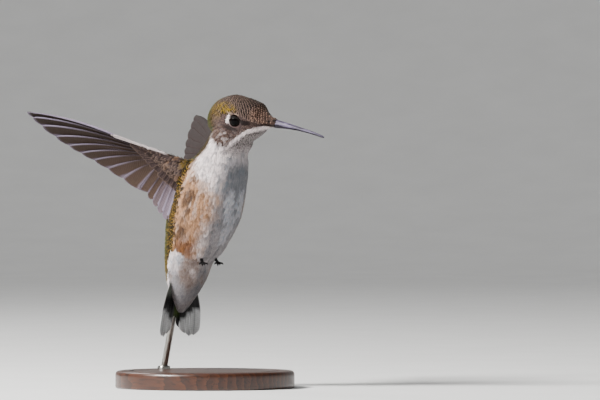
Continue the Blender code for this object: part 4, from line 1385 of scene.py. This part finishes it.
LID_STEPS, LID_SIDES, LID_HEIGHT = 72, 10, 0.20  # round the eye, round the roll, and half the roll's height


def lid_opening(turn):
    """How far the rim of the eye's opening is from the eye's middle; 0 is forward, 90 degrees is up."""
    level, rise = math.cos(turn), math.sin(turn)
    radius = 1.56 + 0.06 * level * level
    if rise > 0:
        radius -= 0.52 * rise * rise
    radius += 0.22 * math.exp(-((turn + 0.15) / 0.30) ** 2)
    radius += 0.12 * math.exp(-((abs(turn) - math.pi) / 0.35) ** 2)
    return radius


def make_eyeball(word, centre, axis):
    """A ball whose cornea bulges a little."""
    clear_selection()
    bpy.ops.mesh.primitive_uv_sphere_add(segments=64, ring_count=40, radius=EYE_RADIUS * MM,
                                         location=centre * MM)
    ball = applied(f"eyeball_{word}")
    select_faces(ball, lambda face: False)
    bpy.ops.object.mode_set(mode="OBJECT")
    for vert in ball.data.vertices:
        vert.select = (vert.co / MM - centre).normalized().dot(axis) > math.cos(math.radians(12))
    bpy.ops.object.mode_set(mode="EDIT")
    bpy.ops.transform.translate(value=axis * 0.10 * MM, use_proportional_edit=True,
                                proportional_edit_falloff="SMOOTH", proportional_size=1.3 * MM)
    bpy.ops.object.mode_set(mode="OBJECT")
    bpy.ops.object.shade_smooth()
    ball.data.materials.append(eye_material(f"wet_eye_{word}", centre * MM, axis))
    finished(ball, "eye_dark", f"eye_{word}")


def lid_colour(c, turn, angle, upper):
    """Pale behind the eye, dark along the opening, in front and above."""
    behind = math.exp(-((abs(turn) - math.pi) / 0.6) ** 2)
    pale = c.cheek * 0.7 + (c.white * 0.8 - c.cheek * 0.7) * behind
    share = min(1.0, upper * 2.2 + 0.9 * math.exp(-(turn / 0.5) ** 2))
    share = max(share, 0.95 * max(0.0, -math.cos(angle)))
    return pale + (c.dusky * 0.25 - pale) * share


def make_eyes():
    """Each eye, and its lids: a soft roll of skin round the opening."""
    c = bird_tones()
    lid_skin = painted_skin_material("lid_skin", 0.7, 5200.0, 0.5)
    for word, sign in SIDES:
        centre, axis = eye_axis(sign)
        make_eyeball(word, centre, axis)
        up = HEAD_TURN @ Vector((0, 0, 1))
        up = (up - axis * up.dot(axis)).normalized()
        ahead = up.cross(axis) * sign
        if ahead.dot(HEAD_TURN @ Vector((0, -1, 0))) < 0:
            ahead = -ahead
        rings, shades = [], []
        for turn in around(LID_STEPS, -LID_STEPS / 2):
            way = ahead * math.cos(turn) + up * math.sin(turn)
            inner = lid_opening(turn)
            high = math.sqrt(max(EYE_RADIUS ** 2 - inner ** 2, 0.1))
            upper = max(math.sin(turn + 0.25), 0.0)
            wide = 0.20 + 0.14 * upper
            middle = centre + way * (inner + wide * 0.75) + axis * (high - 0.02)
            rings.append([middle + way * wide * math.cos(angle) + axis * LID_HEIGHT * math.sin(angle)
                          for angle in around(LID_SIDES)])
            shades += [lid_colour(c, turn, angle, upper) for angle in around(LID_SIDES)]
        shape = bmesh.new()
        loft(shape, rings, ends=False)
        lid = piece_from(f"eyelid_{word}", shape, lid_skin)
        paint_points(lid.data, np.array(shades))
        finished(lid, "foot_scales")


def tube_rings(points, radii, count, knobs=0.0):
    line = [Vector(p) for p in points]
    rings = []
    for i, point in enumerate(line):
        along = (line[min(i + 1, len(line) - 1)] - line[max(i - 1, 0)]).normalized()
        side = along.cross(Vector((1.0, 0.3, 0.2))).normalized()
        r = radii[i] * (1 + knobs * (i % 2))
        rings.append(oval(point, side, along.cross(side), r, r, r, count))
    return rings


def make_feet():
    scales = painted_skin_material("foot_scales", 0.5, 3600.0, 0.8)
    tree = skin_tree()
    for word, sign in SIDES:
        place = Vector((-sign * FOOT_PLACE.x, FOOT_PLACE.y, FOOT_PLACE.z))
        point, normal, _, _ = tree.find_nearest(place)
        ankle = point + normal * LEG_LENGTH
        shape = bmesh.new()
        steps = [point - normal * 0.9] + [point.lerp(ankle, k / 4) for k in range(5)]
        loft(shape, tube_rings(steps, (0.5, 0.5, 0.46, 0.43, 0.40, 0.40), 16, 0.05))
        for across, ahead, drop in TOES:
            end = ankle + Vector((across, ahead, drop))
            knuckle = ankle.lerp(end, 0.5) + normal * 0.25
            path = [bezier((ankle - normal * 0.1, knuckle, end), k / 10) for k in range(11)]
            loft(shape, tube_rings(path, [0.30 - 0.006 * k for k in range(11)], 12, 0.10))
            tip = end + Vector((across * 0.1, 0.0, -0.55)) - normal * 0.1
            hook = end + Vector((across * 0.25, -0.12, -0.2)) + normal * 0.12
            path = [bezier((end - (end - ankle) * 0.06, hook, tip), k / 8) for k in range(9)]
            loft(shape, tube_rings(path, [0.20 * (1 - k / 9) + 0.02 for k in range(9)], 10))
        foot = piece_from(f"foot_{word}", shape, scales)
        paint_points(foot.data, np.tile(bird_tones().black * 1.5, (len(foot.data.vertices), 1)))
        finished(foot, "foot_scales", f"leg_{word}")


# ---------------------------------------------------------------- stand and studio


def applied(name):
    """Names the new object and puts its origin back."""
    piece = bpy.context.object
    piece.name = piece.data.name = name
    bpy.ops.object.transform_apply(location=True, rotation=True, scale=True)
    return piece


def select_faces(piece, test, afresh=True):
    """Opens the piece for editing with these faces picked; if not afresh, the picked corners stay picked."""
    if afresh:
        bpy.ops.object.mode_set(mode="EDIT")
        bpy.ops.mesh.select_all(action="DESELECT")
    bpy.ops.object.mode_set(mode="OBJECT")
    for face in piece.data.polygons:
        face.select = test(face)
    bpy.ops.object.mode_set(mode="EDIT")


def turned(name, vertices, radius, depth, place, turn=(0, 0, 0)):
    """A cylinder, in metres."""
    clear_selection()
    bpy.ops.mesh.primitive_cylinder_add(vertices=vertices, radius=radius, depth=depth, location=place,
                                        rotation=turn)
    return applied(name)


def inset(thickness, depth=0.0):
    bpy.ops.mesh.inset(thickness=thickness * MM, depth=depth * MM)


def stand_piece(piece, material, slot, *nodes):
    bpy.ops.object.mode_set(mode="OBJECT")
    bpy.ops.object.shade_smooth_by_angle(angle=math.radians(40))
    piece.data.materials.append(material)
    finished(piece, slot, *nodes)


def make_stand():
    """The turned base with a ring cut in its top, the rod, and a collar where the rod meets the wood."""
    sizes = bpy.context.scene.bird_sizes
    radius, height = sizes.base_radius, sizes.base_height
    base = turned("turned_base", 160, radius, height, (0, 0, height / 2))
    select_faces(base, lambda face: face.normal.z > 0.9)
    bpy.ops.mesh.bevel(offset=1.5 * MM, segments=8, profile=0.6, affect="EDGES")
    select_faces(base, lambda face: len(face.vertices) > 100 and face.normal.z > 0)
    for thickness, depth in ((2.6, 0), (0.35, -0.35), (0.5, 0), (0.35, 0.35), (9.0, 0)):
        inset(thickness, depth)
    select_faces(base, lambda face: len(face.vertices) > 100 and face.normal.z < 0)
    bpy.ops.mesh.bevel(offset=0.6 * MM, segments=4, profile=0.6, affect="EDGES")
    stand_piece(base, wood_material(), "base_wood", "stand_base")

    steel = steel_material()
    along = (ROD_TOP - ROD_FOOT).normalized()
    length, middle = (ROD_TOP - ROD_FOOT).length, (ROD_FOOT + ROD_TOP) / 2
    rod = turned("steel_rod", 48, ROD_RADIUS * MM, length * MM, middle * MM,
                 along.to_track_quat("Z", "Y").to_euler())
    select_faces(rod, lambda face: abs(face.normal.dot(along)) > 0.9)
    bpy.ops.mesh.bevel(offset=0.25 * MM, segments=4, affect="EDGES")
    stand_piece(rod, steel, "rod_steel", "stand_rod")

    foot = ROD_FOOT + along * ((height / MM + 0.28 - ROD_FOOT.z) / along.z)
    collar = turned("rod_collar", 64, 1.9 * MM, 0.9 * MM, foot * MM)
    select_faces(collar, lambda face: face.normal.z > 0.9)
    bpy.ops.mesh.bevel(offset=0.25 * MM, segments=4, affect="EDGES")
    select_faces(collar, lambda face: face.normal.z > 0.99, afresh=False)
    inset(0.5, -0.12)
    stand_piece(collar, steel, "rod_steel")


def soft_light(name, place, aim, size, power, tint=(1, 1, 1)):
    lamp = bpy.data.lights.new(name, "AREA")
    lamp.shape, lamp.size, lamp.energy, lamp.color = "DISK", size, power, tint
    light = placed(name, lamp)
    light.location = place
    light.rotation_euler = (aim - place).to_track_quat("-Z", "Y").to_euler()


def level_way(turn):
    """The level direction that is turned so far from the world's X."""
    return Vector((math.cos(turn), math.sin(turn), 0))


def make_stage():
    """A pale floor that curves up far behind all round, soft lights and the camera."""
    shape = bmesh.new()
    profile = [(0.2, 0.0), (0.8, 0.0), (1.9, 0.0)]
    profile += [(1.9 + 1.4 * math.sin(a), 1.4 - 1.4 * math.cos(a)) for a in np.linspace(0.1, math.pi / 2, 14)]
    rings = [[shape.verts.new((r * math.cos(a), r * math.sin(a), z)) for a in around(96)] for r, z in profile]
    middle = shape.verts.new((0, 0, 0))
    for i in range(96):
        j = (i + 1) % 96
        shape.faces.new((middle, rings[0][i], rings[0][j]))
        for low, high in zip(rings, rings[1:]):
            shape.faces.new((low[i], high[i], high[j], low[j]))
    piece_from("studio_floor", shape, floor_material())

    aim = Vector((0.0, -0.004, 0.060))
    toward = Vector((math.sin(CAMERA_TURN), -math.cos(CAMERA_TURN), 0))
    right, up = level_way(CAMERA_TURN), Vector((0, 0, 1))
    soft_light("key", aim + (toward * 0.36 - right * 0.68 + up * 0.60) * 0.9, aim, 0.30, 26.0,
               (1.0, 0.985, 0.96))
    soft_light("fill", aim + (toward * 0.9 + right * 0.9 + up * 0.3) * 1.1, aim, 0.8, 0.6, (0.94, 0.97, 1.0))
    soft_light("rim", aim + (-toward * 0.8 - right * 0.5 + up * 0.7) * 0.9, aim, 0.3, 3.0)
    soft_light("sky", aim + up * 1.3, aim, 1.2, 2.2)
    for number in range(4):  # these light the backdrop, not the bird
        way = level_way(math.pi * (number + 0.5) / 2)
        soft_light(f"wash_{number}", way * 1.0 + up * 1.5, way * 3.0 + up * 0.5, 0.6, 11.0)
    world = bpy.data.worlds.new("studio")
    bpy.context.scene.world = world
    world.use_nodes = True
    background = world.node_tree.nodes["Background"]
    background.inputs["Color"].default_value = (0.85, 0.87, 0.9, 1)
    background.inputs["Strength"].default_value = 0.10

    data = bpy.data.cameras.new("camera")
    camera = placed("camera", data)
    data.sensor_width, data.clip_start, data.clip_end = 36.0, 0.05, 20.0
    data.lens = data.sensor_width * CAMERA_DISTANCE / VIEW_WIDTH
    camera.location = VIEW_MIDDLE + toward * CAMERA_DISTANCE
    camera.rotation_euler = (-toward).to_track_quat("-Z", "Y").to_euler()
    bpy.context.scene.camera = camera


# ---------------------------------------------------------------- operators and panel


def built(step):
    """Runs one step; a step that can't finish raises its own error."""
    clear_selection()
    step()
    return {"FINISHED"}


class HUMMINGBIRD_OT_skin(bpy.types.Operator):
    """Makes the one skin that the feathers grow from"""

    bl_idname = "hummingbird.skin"
    bl_label = "Skin"
    bl_options = {"REGISTER", "UNDO"}

    def execute(self, context):
        return built(make_skin)


class HUMMINGBIRD_OT_head_coat(bpy.types.Operator):
    """Lays the crown's scales and the face's small feathers"""

    bl_idname = "hummingbird.head_coat"
    bl_label = "Head feathers"
    bl_options = {"REGISTER", "UNDO"}

    def execute(self, context):
        return built(lay_head)


class HUMMINGBIRD_OT_body_coat(bpy.types.Operator):
    """Lays the feathers of the breast, flanks, back and under the tail"""

    bl_idname = "hummingbird.body_coat"
    bl_label = "Body feathers"
    bl_options = {"REGISTER", "UNDO"}

    def execute(self, context):
        return built(lay_body)


class HUMMINGBIRD_OT_wing_coverts(bpy.types.Operator):
    """Lays the small coverts on both arms"""

    bl_idname = "hummingbird.wing_coverts"
    bl_label = "Wing coverts"
    bl_options = {"REGISTER", "UNDO"}

    def execute(self, context):
        return built(lay_arms)


class HUMMINGBIRD_OT_flight_feathers(bpy.types.Operator):
    """Makes the primaries, the secondaries and the coverts over their roots"""

    bl_idname = "hummingbird.flight_feathers"
    bl_label = "Flight feathers"
    bl_options = {"REGISTER", "UNDO"}

    def execute(self, context):
        return built(make_flight_feathers)


class HUMMINGBIRD_OT_tail(bpy.types.Operator):
    """Makes the ten tail feathers"""

    bl_idname = "hummingbird.tail"
    bl_label = "Tail"
    bl_options = {"REGISTER", "UNDO"}

    def execute(self, context):
        return built(make_tail)


class HUMMINGBIRD_OT_bill(bpy.types.Operator):
    """Makes both halves of the bill"""

    bl_idname = "hummingbird.bill"
    bl_label = "Bill"
    bl_options = {"REGISTER", "UNDO"}

    def execute(self, context):
        return built(make_bill)


class HUMMINGBIRD_OT_eyes(bpy.types.Operator):
    """Makes the eyes and their lids"""

    bl_idname = "hummingbird.eyes"
    bl_label = "Eyes"
    bl_options = {"REGISTER", "UNDO"}

    def execute(self, context):
        return built(make_eyes)


class HUMMINGBIRD_OT_feet(bpy.types.Operator):
    """Makes the legs, toes and claws"""

    bl_idname = "hummingbird.feet"
    bl_label = "Feet"
    bl_options = {"REGISTER", "UNDO"}

    def execute(self, context):
        return built(make_feet)


class HUMMINGBIRD_OT_stand(bpy.types.Operator):
    """Makes the turned base, the rod and its collar"""

    bl_idname = "hummingbird.stand"
    bl_label = "Stand"
    bl_options = {"REGISTER", "UNDO"}

    def execute(self, context):
        return built(make_stand)


class HUMMINGBIRD_OT_stage(bpy.types.Operator):
    """Sets the floor, the lights and the camera"""

    bl_idname = "hummingbird.stage"
    bl_label = "Studio"
    bl_options = {"REGISTER", "UNDO"}

    def execute(self, context):
        return built(make_stage)


STEPS = (
    HUMMINGBIRD_OT_skin, HUMMINGBIRD_OT_head_coat, HUMMINGBIRD_OT_body_coat, HUMMINGBIRD_OT_wing_coverts,
    HUMMINGBIRD_OT_flight_feathers, HUMMINGBIRD_OT_tail, HUMMINGBIRD_OT_bill, HUMMINGBIRD_OT_eyes,
    HUMMINGBIRD_OT_feet, HUMMINGBIRD_OT_stand, HUMMINGBIRD_OT_stage,
)


class HUMMINGBIRD_PT_panel(bpy.types.Panel):
    """Lists the steps that build the bird, and its colours and sizes"""

    bl_label = "Hummingbird"
    bl_idname = "HUMMINGBIRD_PT_panel"
    bl_space_type = "VIEW_3D"
    bl_region_type = "UI"
    bl_category = "Hummingbird"

    def draw(self, context):
        for step in STEPS:
            self.layout.operator(step.bl_idname)
        for group in (context.scene.bird_sizes, context.scene.bird_colours):
            for key in group.__annotations__:
                self.layout.prop(group, key)


CLASSES = (HummingbirdColours, HummingbirdSizes, *STEPS, HUMMINGBIRD_PT_panel)


def register():
    for cls in CLASSES:
        bpy.utils.register_class(cls)
    bpy.types.Scene.bird_colours = PointerProperty(type=HummingbirdColours)
    bpy.types.Scene.bird_sizes = PointerProperty(type=HummingbirdSizes)


def unregister():
    del bpy.types.Scene.bird_sizes
    del bpy.types.Scene.bird_colours
    for cls in reversed(CLASSES):
        bpy.utils.unregister_class(cls)


def main():
    register()
    bpy.ops.hummingbird.skin()
    bpy.ops.hummingbird.head_coat()
    bpy.ops.hummingbird.body_coat()
    bpy.ops.hummingbird.wing_coverts()
    bpy.ops.hummingbird.flight_feathers()
    bpy.ops.hummingbird.tail()
    bpy.ops.hummingbird.bill()
    bpy.ops.hummingbird.eyes()
    bpy.ops.hummingbird.feet()
    bpy.ops.hummingbird.stand()
    bpy.ops.hummingbird.stage()
    clear_selection()


if __name__ == "__main__":
    main()
